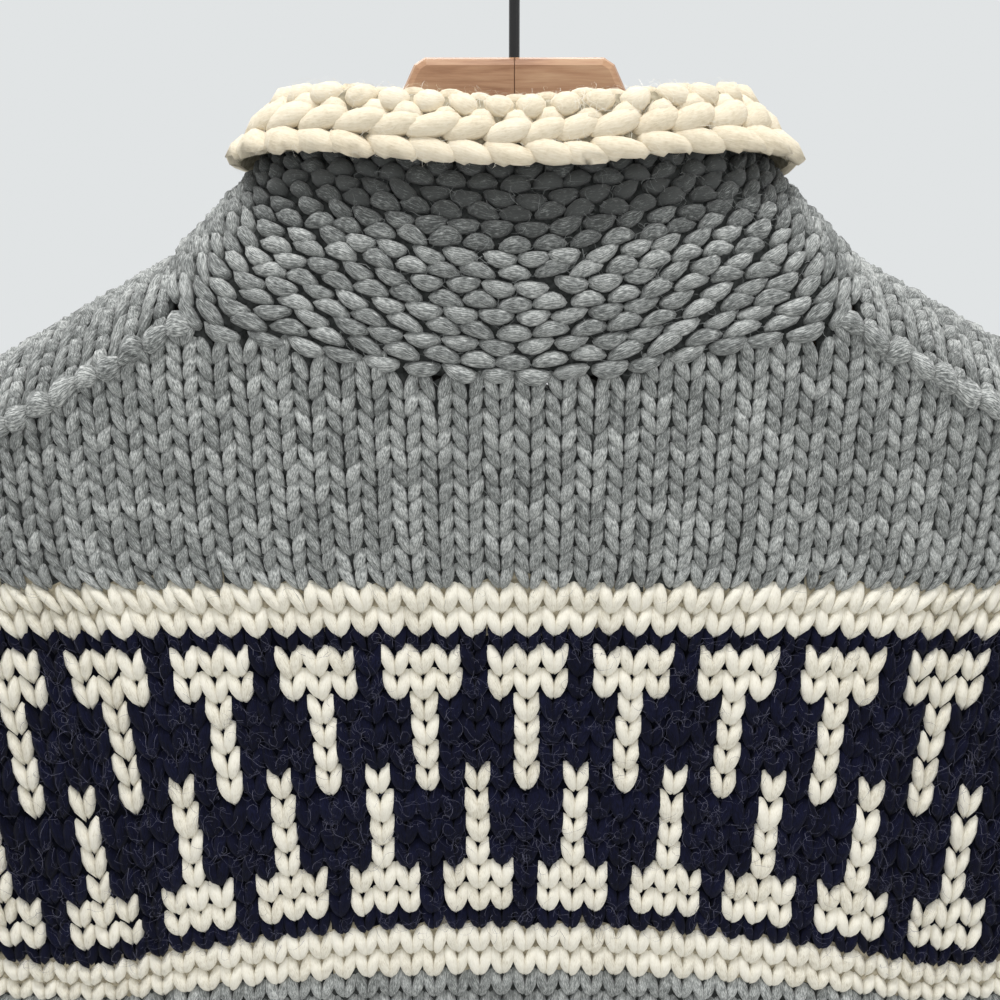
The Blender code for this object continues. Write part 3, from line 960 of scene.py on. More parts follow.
def seat(piece: bpy.types.Object, slot: str, *nodes: str) -> bpy.types.Object:
    """Makes a piece ride on the cardigan and hides the CAD nodes that it replaces.

    Args:
        piece: The piece.
        slot: Its material slot; not used.
        *nodes: The CAD nodes that it replaces.

    Returns:
        The piece.
    """
    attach(piece, "cardigan")
    if nodes:
        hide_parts(*nodes)
    log.info("%s: %d faces", piece.name, len(piece.data.polygons))
    return piece


def yarn_piece(name: str, points: Array, triangles: Array, finish: Finish, uv: Array, shade: Array) -> None:
    """Makes one smooth joined piece of yarn from arrays.

    Args:
        name: The piece's name.
        points: Its points, in millimetres.
        triangles: Its triangles.
        finish: Its yarn.
        uv: A UV place for each point.
        shade: A shade for each point.
    """
    data = bpy.data.meshes.new(name)
    data.vertices.add(len(points))
    data.vertices.foreach_set("co", (points * MM).astype(np.float32).ravel())
    data.loops.add(triangles.size)
    data.loops.foreach_set("vertex_index", triangles.astype(np.int32).ravel())
    data.polygons.add(len(triangles))
    data.polygons.foreach_set("loop_start", np.arange(0, triangles.size, 3, dtype=np.int32))
    data.update(calc_edges=True)
    layer = data.uv_layers.new(name="yarn")
    layer.data.foreach_set("uv", uv[triangles.ravel()].astype(np.float32).ravel())
    kept = data.attributes.new("shade", "FLOAT", "POINT")
    kept.data.foreach_set("value", shade.astype(np.float32))
    data.shade_smooth()
    data.materials.append(material_of(finish))
    seat(scene_object(name, data), finish.value.slot)


@dataclass(frozen=True)
class Knitter:
    """Lays beads of yarn on one face of the cloth as stitches."""

    surface: Surface
    outward: float = 1.0

    def lay(self, name: str, places: Places, stitch: Stitch, bead: Template, finish: Finish,
            lift: float = 0.0) -> None:
        """Builds one joined mesh of stitches.

        Args:
            name: The piece's name.
            places: Where the stitches are.
            stitch: Their shape.
            bead: The template.
            finish: Their yarn.
            lift: Millimetres added outwards.
        """
        form = stitch.value.form(bead, places)
        parts = np.broadcast_arrays(places.u[:, None] + form.across, places.v[:, None] + form.up,
                                    form.out + places.deep[:, None])
        u, v, height = (part.ravel() for part in parts)
        normal = normals(self.surface, u, v) * self.outward
        points = self.surface(u, v) + normal * (height + lift)[:, None]
        beads, count = len(places.u), len(bead.along)
        triangles = (bead.triangles[None] + np.arange(beads)[:, None, None] * count).reshape(-1, 3)
        triangles = self.turned_outwards(points, triangles, len(bead.triangles))
        uv = np.tile(np.stack([bead.along, bead.turn], 1), (beads, 1))
        yarn_piece(name, points, triangles, finish, uv, np.repeat(places.shade, count))

    @staticmethod
    def turned_outwards(points: Array, triangles: Array, per: int) -> Array:
        """Turns the triangles of every bead that is inside out.

        Args:
            points: All the beads' points.
            triangles: All their triangles.
            per: How many triangles a bead has.

        Returns:
            The triangles.
        """
        corners = points[triangles]
        middle = corners.mean(axis=1).reshape(-1, per, 3).mean(axis=1)
        shifted = corners - np.repeat(middle, per, axis=0)[:, None, :]
        signed = np.einsum("ij,ij->i", shifted[:, 0], np.cross(shifted[:, 1], shifted[:, 2]))
        flip = np.repeat(signed.reshape(-1, per).sum(axis=1) < 0.0, per)
        triangles = triangles.copy()
        triangles[flip] = triangles[flip][:, ::-1]
        return triangles


@dataclass
class Fuzz:
    """The wool's halo: fine curly hairs that stand off the stitches of one face."""

    surface: Surface
    outward: float
    unit: float                  # the width in mm of one step of the face's first number
    seed: int = 19
    points: int = 7
    step: float = 1.5
    width: float = 0.10
    curl: float = 0.6
    waver: float = 0.3

    def grow(self, name: str, u: tuple[float, float], v: tuple[float, float], count: int, finish: Finish,
             lift: tuple[float, float], kept: Callable[[Array, Array], Array] | None = None) -> None:
        """Grows hairs as narrow ribbons that wander over the face.

        Args:
            name: The piece's name.
            u: The range of the first number.
            v: The range of the second number, in mm.
            count: How many hairs are tried.
            finish: Their yarn.
            lift: The height of a hair's root and of its highest point over the face, in mm.
            kept: Says which roots are kept.
        """
        rng = np.random.default_rng(self.seed + count)
        root_u, root_v = rng.uniform(*u, count), rng.uniform(*v, count)
        if kept is not None:
            chosen = kept(root_u, root_v)
            root_u, root_v = root_u[chosen], root_v[chosen]
        count = len(root_u)
        start = rng.uniform(0.0, 2.0 * math.pi, (count, 1))
        turns = rng.normal(0.0, self.curl, (count, 1)) + rng.normal(0.0, self.waver, (count, self.points))
        heading = start + np.cumsum(turns, axis=1)
        reach = self.step * rng.uniform(0.5, 1.3, (count, 1))
        hair_u = (root_u[:, None] + np.cumsum(np.cos(heading) * reach, axis=1) / self.unit).ravel()
        hair_v = (root_v[:, None] + np.cumsum(np.sin(heading) * reach, axis=1)).ravel()
        share = np.linspace(0.0, 1.0, self.points)[None, :]
        tallest = (lift[1] - lift[0]) * rng.random((count, 1)) ** 2.0
        high = lift[0] + tallest * np.sin(math.pi * (0.1 + 0.8 * share))
        normal = normals(self.surface, hair_u, hair_v, 0.3 / self.unit, 0.3) * self.outward
        middle = self.surface(hair_u, hair_v) + normal * high.ravel()[:, None]
        middle = middle.reshape(count, self.points, 3)
        across = np.cross(np.gradient(middle, axis=1), normal.reshape(middle.shape))
        across = across / np.maximum(np.linalg.norm(across, axis=-1, keepdims=True), 1e-6)
        thin = self.width / 2.0 * (1.15 - share[..., None])
        points = np.stack([middle - across * thin, middle + across * thin], axis=2).reshape(-1, 3)
        first = (np.arange(count)[:, None] * self.points + np.arange(self.points - 1)[None, :]).ravel() * 2
        quads = first[:, None] + np.array([0, 1, 3, 2])
        triangles = np.concatenate([quads[:, [0, 1, 2]], quads[:, [0, 2, 3]]])
        shade = np.repeat(rng.random(count), self.points * 2)
        yarn_piece(name, points, triangles, finish, np.zeros((len(points), 2)), shade)


@dataclass(frozen=True)
class Unevenness:
    """How much a hand knitter's stitches vary, as standard deviations."""

    u: float = 0.045
    v: float = 0.35
    wide: float = 0.03
    tall: float = 0.05
    deep: float = 0.35
    tilt: float = 0.24

    def places(self, rng: np.random.Generator, u: Array, v: Array, wide: float, tall: float,
               hand: Array) -> Places:
        """Places of stitches with a little unevenness.

        Args:
            rng: The source of unevenness.
            u: Their even places, first number.
            v: Second number, in mm.
            wide: A stitch's width.
            tall: A row's height.
            hand: The hand of each.

        Returns:
            The places.
        """
        count = len(u)
        return Places(u + rng.normal(0.0, self.u, count), v + rng.normal(0.0, self.v, count), hand,
                      np.full(count, wide) * (1.0 + rng.normal(0.0, self.wide, count)),
                      np.full(count, tall) * (1.0 + rng.normal(0.0, self.tall, count)), rng.random(count),
                      rng.normal(0.0, self.deep, count), rng.normal(0.0, self.tilt, count))


HANDMADE = Unevenness()


def garter(rng: np.random.Generator, stitches: int, height: float, sub_row: float, start: float = 0.0,
           bottom: float = 0.0) -> Places:
    """The bumps of garter stitch: sub-rows a few millimetres apart, each shifted by half a stitch.

    Args:
        rng: The source of unevenness.
        stitches: Stitches along the piece.
        height: The height to fill, in mm.
        sub_row: The distance between sub-rows.
        start: The first u.
        bottom: The v of the lowest sub-row.

    Returns:
        The bumps' places.
    """
    u, v, hand = [], [], []
    for row in range(int(height / sub_row)):
        odd = row % 2
        count = stitches - odd
        u.append(start + 0.5 + 0.5 * odd + np.arange(count))
        v.append(np.full(count, bottom + (row + 0.5) * sub_row))
        hand.append(np.full(count, 1.0 if odd else -1.0))
    u, v, hand = (np.concatenate(part) for part in (u, v, hand))
    return HANDMADE.places(rng, u, v, 1.0, sub_row * 0.98, hand)


# The band's chart: four stitches that repeat, eleven rows from the top.
# An upright T takes the first six rows, and an upside-down one, two stitches on, the last six.
CHART_REPEAT = 4
T_COLUMNS = {**{row: (3, 0, 1) for row in (0, 1)}, **{row: (0,) for row in (2, 3, 4, 5)}}
LOW_T_COLUMNS = {**{row: (2,) for row in (5, 6, 7, 8)}, **{row: (1, 2, 3) for row in (9, 10)}}


def yarn_at(plan: str, chart_row: int, column: int) -> str:
    """The colour of a stitch.

    Args:
        plan: Its row's plan.
        chart_row: Its row in the chart.
        column: Its column from the centre.

    Returns:
        grey, cream or navy.
    """
    if plan != "chart":
        return plan
    cream = T_COLUMNS.get(chart_row, ()) + LOW_T_COLUMNS.get(chart_row, ())
    return "cream" if column % CHART_REPEAT in cream else "navy"


@dataclass
class Body:
    """The back's and the fronts' stockinette stitches in three yarns."""

    knit: Knit
    seed: int = 7
    fine_u: float = 15.0         # the stitches near the yoke's middle get the finer bead
    fine_low: float = -450.0
    shift: float = 0.5           # a T's stem stands on a stitch at the centre of the back
    narrowest: float = 6.0       # a stitch is drawn no narrower than this, in mm
    jitter_u: float = 0.02
    jitter_v: float = 0.3
    tone_spread: float = 0.25    # how much the two legs of a V differ in tone
    deep_spread: float = 0.25
    seam_gap: float = 2.0
    neck_gap: float = 1.5

    def stitches(self, side: float) -> dict[tuple[str, bool], Places]:
        """Every stitch of the back or the fronts, sorted by yarn and by how near the yoke it is.

        Args:
            side: 1 for the back, -1 for the fronts.

        Returns:
            The places, keyed by yarn and whether the stitch is a fine one.
        """
        rng = np.random.default_rng(self.seed + int(side > 0))
        lines, plans = self.knit.rows()
        found: dict[tuple[str, bool], list[list[float]]] = {}
        chart_row = -1
        for row, plan in enumerate(plans):
            chart_row += plan == "chart"
            low, height = lines[row + 1], lines[row] - lines[row + 1]
            if low < self.knit.torso.welt_z - 1.0:
                break
            for column in range(1 - self.knit.stitches, self.knit.stitches + 1):
                u = column - self.shift
                before, x, after = (float(self.knit.x_of(np.array(u + step), np.array(low)))
                                    for step in (-0.5, 0.0, 0.5))
                if self.left_out(x, low + height * 0.55, side):
                    continue
                fine = side > 0 and abs(u) <= self.fine_u and low > self.fine_low
                legs = found.setdefault((yarn_at(plan, chart_row, column), fine), [])
                wide = max(after - before, self.narrowest)
                tone = rng.random()
                for hand in (-1.0, 1.0):
                    jitter = rng.normal(0.0, 1.0, 2)
                    legs.append([u + self.jitter_u * jitter[0], low + self.jitter_v * jitter[1], hand, wide,
                                 height, tone + rng.random() * self.tone_spread,
                                 rng.normal(0.0, self.deep_spread)])
        return {key: Places(*np.array(legs).T) for key, legs in found.items()}

    def left_out(self, x: float, f: float, side: float) -> bool:
        """Whether a stitch lies past the panel's outline.

        Args:
            x: Its distance from the centre.
            f: Its height on the flat cloth.
            side: 1 for the back, -1 for the fronts.

        Returns:
            Whether it is left out.
        """
        torso = self.knit.torso
        q = float(torso.q_of(np.array(x), np.array(f), side))
        if side > 0 and q < torso.seam_q:
            return True
        if side < 0 and (q > torso.seam_q - self.seam_gap or abs(x) < torso.zip_edge + self.seam_gap):
            return True
        hole = float(torso.neck_width(np.array(q)))
        return hole > 0.0 and abs(x) < hole + self.neck_gap

    def build(self, side: float, prefix: str) -> None:
        """Builds the stitches of one side of the body.

        Args:
            side: 1 for the back, -1 for the fronts.
            prefix: What their names start with.
        """
        surface = self.knit.surface(side)
        knitter = Knitter(surface, facing(surface, 2.0, -400.0, side))
        yarns = {"grey": Finish.GREY, "cream": Finish.CREAM, "navy": Finish.NAVY}
        for (yarn, fine), places in self.stitches(side).items():
            name = f"{prefix}_{yarn}_{'near' if fine else 'far'}"
            knitter.lay(name, places, Stitch.KNIT, FINE if fine else COARSE, yarns[yarn])

    def build_hairs(self) -> None:
        """Grows the hairs over the back: pale ones on the navy yarn, grey ones on the yoke."""
        surface = self.knit.surface(1.0)
        lines, plans = self.knit.rows()
        band = [line for line, plan in zip(lines, plans) if plan in ("navy", "chart")]
        fuzz = Fuzz(surface, facing(surface, 2.0, -400.0), 10.0)

        def navy(u: Array, v: Array) -> Array:
            """Whether navy yarn lies at each root.

            Args:
                u: The roots' places in stitches.
                v: Their heights.

            Returns:
                True or False for each.
            """
            row = np.clip(np.searchsorted(-lines, -v) - 1, 0, len(plans) - 1)
            first = plans.index("chart")
            column = np.rint(u + self.shift).astype(int)
            return np.array([yarn_at(plans[r], r - first, c) == "navy" for r, c in zip(row, column)])

        across, lift = (-22.0, 22.0), (-1.0, 1.2)
        fuzz.grow("back_navy_hair", across, (band[-1] - 7.0, band[0]), 5200, Finish.NAVY_HAIR, lift, navy)
        fuzz.grow("back_grey_hair", across, (band[0] + 16.0, -205.0), 1300, Finish.GREY_HAIR, lift)


@dataclass
class ShoulderSeams:
    """The cords of bumps along the shoulder seams, that lie on the back below the ridge."""

    torso: Torso
    seed: int = 43
    start_t: float = 0.36        # where they start on the neck seam
    margin: float = 4.0
    pitch: float = 8.6
    wide: float = 10.6
    tall: float = 8.4
    slope: float = -0.35
    lift: float = 0.4

    def build(self) -> None:
        """Builds both cords."""
        torso = self.torso
        rng = np.random.default_rng(self.seed)
        start = torso.neck_at(np.array([self.start_t]))[0][0] + self.margin
        for side in Side:
            x = np.arange(start, torso.half_width - self.margin, self.pitch)
            hand = np.where(np.arange(len(x)) % 2, 1.0, -1.0)
            places = HANDMADE.places(rng, x, np.full_like(x, torso.seam_q), self.wide, self.tall, hand)
            places.tilt += self.slope

            def face(a: Array, q: Array, hand: float = side.value) -> Array:
                """The torso's face, a mm from the centre on this cord's side."""
                return torso.at(a * hand, q)

            knitter = Knitter(face, facing(face, 160.0, torso.seam_q))
            knitter.lay(f"shoulder_seam_{side.label}", places, Stitch.PURL, FINE, Finish.GREY, self.lift)


def shell(node: str, surface: Surface, u: tuple[float, float], v: tuple[float, float], cells: tuple[int, int],
          finishes: list[Finish], wall: tuple[float, float], outward: float = 1.0, closed: bool = False,
          out: Callable[[Array, Array], Array] | None = None,
          finish_at: Callable[[Array, Array], Array] | None = None) -> bpy.types.Object:
    """Makes a thin shell of cloth on a surface, in place of a CAD node.

    Args:
        node: The CAD node.
        surface: The cloth's outer face.
        u: The range of the first number.
        v: The range of the second number.
        cells: How many cells each way.
        finishes: The shell's finishes.
        wall: How far its outer face lies under the surface, and its thickness, in mm.
        outward: Which way the surface's normal is turned.
        closed: Whether the shell is a tube, closed in u.
        out: Says which cell middles are left out.
        finish_at: Says which finish a cell takes.

    Returns:
        The object.
    """
    mesh = bmesh.new()
    bmesh.ops.create_grid(mesh, x_segments=cells[0], y_segments=cells[1], size=1.0)
    share = (np.array([vert.co for vert in mesh.verts]) + 1.0) / 2.0
    us, vs = u[0] + share[:, 0] * (u[1] - u[0]), v[0] + share[:, 1] * (v[1] - v[0])
    normal = normals(surface, us, vs, (u[1] - u[0]) * 1e-4, (v[1] - v[0]) * 1e-4) * outward
    points = surface(us, vs) - normal * wall[0]
    corners = [[vert.index for vert in face.verts] for face in mesh.faces]
    middles = us[corners].mean(axis=1), vs[corners].mean(axis=1)
    if finish_at is not None:
        for face, index in zip(mesh.faces, finish_at(*middles)):
            face.material_index = int(index)
    for vert, point in zip(mesh.verts, points):
        vert.co = Vector(point) * MM
    if out is not None:
        gone = [face for face, drop in zip(list(mesh.faces), out(*middles)) if drop]
        bmesh.ops.delete(mesh, geom=gone, context="FACES")
    if closed:
        bmesh.ops.remove_doubles(mesh, verts=mesh.verts, dist=1e-6)
    mesh.normal_update()
    mesh.faces.ensure_lookup_table()
    probe = mesh.faces[len(mesh.faces) // 2]
    near = int(np.argmin(np.linalg.norm(points * MM - np.array(probe.calc_center_median()), axis=1)))
    if probe.normal.dot(Vector(normal[near])) < 0.0:
        bmesh.ops.reverse_faces(mesh, faces=mesh.faces)
    made = from_bmesh(f"{node}_cloth", mesh, *(material_of(finish) for finish in finishes))
    made.data.shade_smooth()
    thick = made.modifiers.new("thickness", "SOLIDIFY")
    thick.thickness = wall[1] * MM
    thick.offset = -1.0
    return seat(made, finishes[0].value.slot, node)


@dataclass
class Panel:
    """One panel's share of the torso: its node, its side, its span in x, its cells across and its cuts."""

    torso: Torso
    node: str
    side: float
    across: tuple[float, float]
    count: int

    def q_at(self, x: Array, s: Array) -> Array:
        """The distance along the cloth from the ridge, for the share s down from the shoulder seam."""
        bottom = self.torso.q_of(x, np.full_like(x, self.torso.welt_z), self.side)
        return self.torso.seam_q + s * (bottom - self.torso.seam_q)

    def face(self, x: Array, s: Array) -> Array:
        """The panel's face from x and the share s down from the shoulder seam."""
        return self.torso.at(x, self.q_at(x, s))

    def welt_face(self, x: Array, f: Array) -> Array:
        """Its welt's face from x and height."""
        return self.torso.at(x, self.torso.q_of(x, f, self.side))

    def hole(self, x: Array, s: Array) -> Array:
        """Whether a cell lies in the neck's hole."""
        return np.abs(x) < self.torso.neck_width(self.q_at(x, s))

    def probe_x(self) -> float:
        """A place away from the panel's middle, where its normal is looked up."""
        return (self.across[0] + self.across[1]) / 2.0 + 30.0


@dataclass
class Shells:
    """The thin shells of the body's panels and welts."""

    knit: Knit
    wall: tuple[float, float] = (3.4, 2.6)   # depth under the cloth's face and thickness, in mm
    yarn_drop: float = 3.0                   # a row's colour starts this far above its line

    def panels(self) -> tuple[Panel, ...]:
        """The back, the left front and the right front."""
        torso = self.knit.torso
        edge = torso.half_width - 0.05
        return (Panel(torso, "back", 1.0, (-edge, edge), 44),
                Panel(torso, "front_left", -1.0, (torso.zip_edge, edge), 22),
                Panel(torso, "front_right", -1.0, (-edge, -torso.zip_edge), 22))

    def finish_at(self, panel: Panel, x: Array, s: Array) -> Array:
        """The finish of a panel's cells.

        Args:
            panel: The panel.
            x: The cells' distances from the centre.
            s: Their shares down from the shoulder seam.

        Returns:
            0 for grey, 1 for cream and 2 for navy.
        """
        torso = self.knit.torso
        f = torso.ridge(x) + torso.extra() - panel.side * panel.q_at(x, s)
        lines, plans = self.knit.rows()
        row = np.clip(np.searchsorted(-lines, -(f - self.yarn_drop)) - 1, 0, len(plans) - 1)
        return np.array([{"grey": 0, "cream": 1}.get(plan, 2) for plan in plans])[row]

    def build(self) -> None:
        """Builds the shells of the back, the fronts and the welts."""
        finishes = [Finish.GREY_BACK, Finish.CREAM_BACK, Finish.NAVY_BACK]
        for panel in self.panels():
            piece = shell(panel.node, panel.face, panel.across, (0.0, 1.0), (panel.count, 120), finishes,
                          self.wall, facing(panel.face, panel.probe_x(), 0.6, panel.side), out=panel.hole,
                          finish_at=lambda x, s, panel=panel: self.finish_at(panel, x, s))
        torso = self.knit.torso
        for panel in self.panels():
            heights = (torso.hem_z + 1.0, torso.welt_z)
            piece = shell(f"hem_{panel.node}", panel.welt_face, panel.across, heights, (panel.count, 12),
                          finishes[:1], self.wall,
                          facing(panel.welt_face, panel.probe_x(), -800.0, panel.side))


@dataclass
class Welts:
    """The garter stitch bumps of the welts at the body's hem."""

    knit: Knit
    seed: int = 31
    sub_row: float = 5.4

    def build(self) -> None:
        """Builds the three welts' bumps."""
        torso = self.knit.torso
        rng = np.random.default_rng(self.seed)
        height = torso.welt_z - torso.hem_z - 1.0
        for node, side, first, last in (("hem_back", 1.0, -29, 29), ("hem_front_left", -1.0, 1, 29),
                                        ("hem_front_right", -1.0, -29, -1)):
            face = self.knit.surface(side)
            places = garter(rng, last - first, height, self.sub_row, first, torso.hem_z + 2.0)
            knitter = Knitter(face, facing(face, 2.0, -400.0, side))
            knitter.lay(f"{node}_bumps", places, Stitch.PURL, COARSE, Finish.GREY)


def rounded(angle: Array, sides: float) -> tuple[Array, Array]:
    """The cosine and sine of an oval that is squared off by its power, 2 for none."""
    c, s = np.cos(angle), np.sin(angle)
    return np.sign(c) * np.abs(c) ** (2.0 / sides), np.sign(s) * np.abs(s) ** (2.0 / sides)


@dataclass
class Tube:
    """A knitted tube: rings across a bent line, and the stitches round and along it."""

    hand: float
    rings: tuple[SleeveRow, ...]
    around: int
    length: float
    sides: float = 2.5
    usual: tuple[float, float] = (85.0, 40.0)   # a ring's half sizes, along which stitches are even

    def face(self, u: Array, v: Array) -> Array:
        """The outer face.

        Args:
            u: Stitches round the tube.
            v: Millimetres along it, 0 at the top ring and negative below.

        Returns:
            The points.
        """
        turn = np.linspace(0.0, 2.0 * math.pi, 721)
        outline = np.stack(rounded(turn, self.sides), 1) * self.usual
        run = np.concatenate([[0.0], np.cumsum(np.linalg.norm(np.diff(outline, axis=0), axis=1))])
        table = {name: np.array([getattr(row, name) for row in self.rings]) for name in SleeveRow._fields}
        middles = np.stack([table["inner_x"] + table["outer_x"],
                            table["inner_z"] + table["outer_z"]], 1) / 2.0
        steps = np.linalg.norm(np.diff(middles, axis=0), axis=1)
        keys = np.concatenate([[0.0], np.cumsum(steps)]) / steps.sum()
        share = np.clip(-v / self.length, 0.0, 1.0)
        ring = {name: smooth(share, keys, values) for name, values in table.items()}
        c, s = rounded(np.interp((u / self.around) % 1.0, run / run[-1], turn), self.sides)
        x = (ring["inner_x"] + ring["outer_x"]) / 2.0 + (ring["outer_x"] - ring["inner_x"]) / 2.0 * c
        z = (ring["inner_z"] + ring["outer_z"]) / 2.0 + (ring["outer_z"] - ring["inner_z"]) / 2.0 * c
        return np.stack([x * self.hand, ring["depth"] * s, z], axis=-1)

    def outward(self) -> float:
        """Which way its computed normal has to be turned."""
        return facing(self.face, self.around * 0.25, -30.0)

    def cloth(self, node: str, cells: tuple[int, int], wall: tuple[float, float]) -> bpy.types.Object:
        """Builds its shell, in place of that node.

        Args:
            node: The CAD node.
            cells: Its cells round and along.
            wall: Its wall's depths, in mm.

        Returns:
            The shell.
        """
        span = (0.0, float(self.around))
        return shell(node, self.face, span, (-self.length, 0.0), cells, [Finish.GREY_BACK], wall,
                     self.outward(), closed=True)


@dataclass
class Sleeve:
    """A sleeve with its cuff."""

    side: Side
    seed: int = 51
    rows: int = 50
    wide: float = 9.7
    sub_row: float = 5.4
    rings: tuple = (
        SleeveRow(262.35, -452.0, 262.35, -228.0, 46.0),
        SleeveRow(267.0, -466.0, 300.0, -255.0, 45.0),
        SleeveRow(271.0, -488.0, 347.0, -315.0, 43.0),
        SleeveRow(277.0, -535.0, 387.0, -397.0, 41.0),
        SleeveRow(288.0, -605.0, 414.0, -500.0, 39.0),
        SleeveRow(303.0, -680.0, 432.0, -610.0, 37.0),
        SleeveRow(319.0, -756.0, 443.0, -716.0, 35.0),
    )
    cuff_rings: tuple = (
        SleeveRow(321.0, -755.7, 441.2, -717.0, 33.5),
        SleeveRow(327.0, -790.0, 444.0, -757.0, 31.0),
        SleeveRow(334.0, -826.0, 447.0, -795.0, 32.0),
    )

    def build(self) -> None:
        """Builds the sleeve's shell and stitches, then the cuff's shell and bumps."""
        rng = np.random.default_rng(self.seed + int(self.side.value))
        sleeve = Tube(self.side.value, self.rings, 34, 486.0)
        name = f"sleeve_{self.side.label}"
        sleeve.cloth(name, (40, 30), (3.4, 2.6))
        pitch = sleeve.length / self.rows
        u = np.tile(np.repeat(np.arange(sleeve.around) + 0.5, 2), self.rows)
        v = -np.repeat(np.arange(1, self.rows + 1) * pitch, sleeve.around * 2)
        hand = np.tile([-1.0, 1.0], sleeve.around * self.rows)
        tone = np.repeat(rng.random(sleeve.around * self.rows), 2)
        places = HANDMADE.places(rng, u, v, self.wide, pitch, hand)
        places.shade = tone + 0.2 * places.shade
        knitter = Knitter(sleeve.face, sleeve.outward())
        knitter.lay(f"{name}_stitches", places, Stitch.KNIT, COARSE, Finish.GREY)
        cuff = Tube(self.side.value, self.cuff_rings, 26, 72.0)
        name = f"cuff_{self.side.label}"
        cuff.cloth(name, (52, 12), (3.4, 2.4))
        bumps = garter(rng, cuff.around + 1, cuff.length - 1.0, self.sub_row, 0.0, 1.0 - cuff.length)
        Knitter(cuff.face, cuff.outward()).lay(f"{name}_bumps", bumps, Stitch.PURL, COARSE, Finish.GREY)


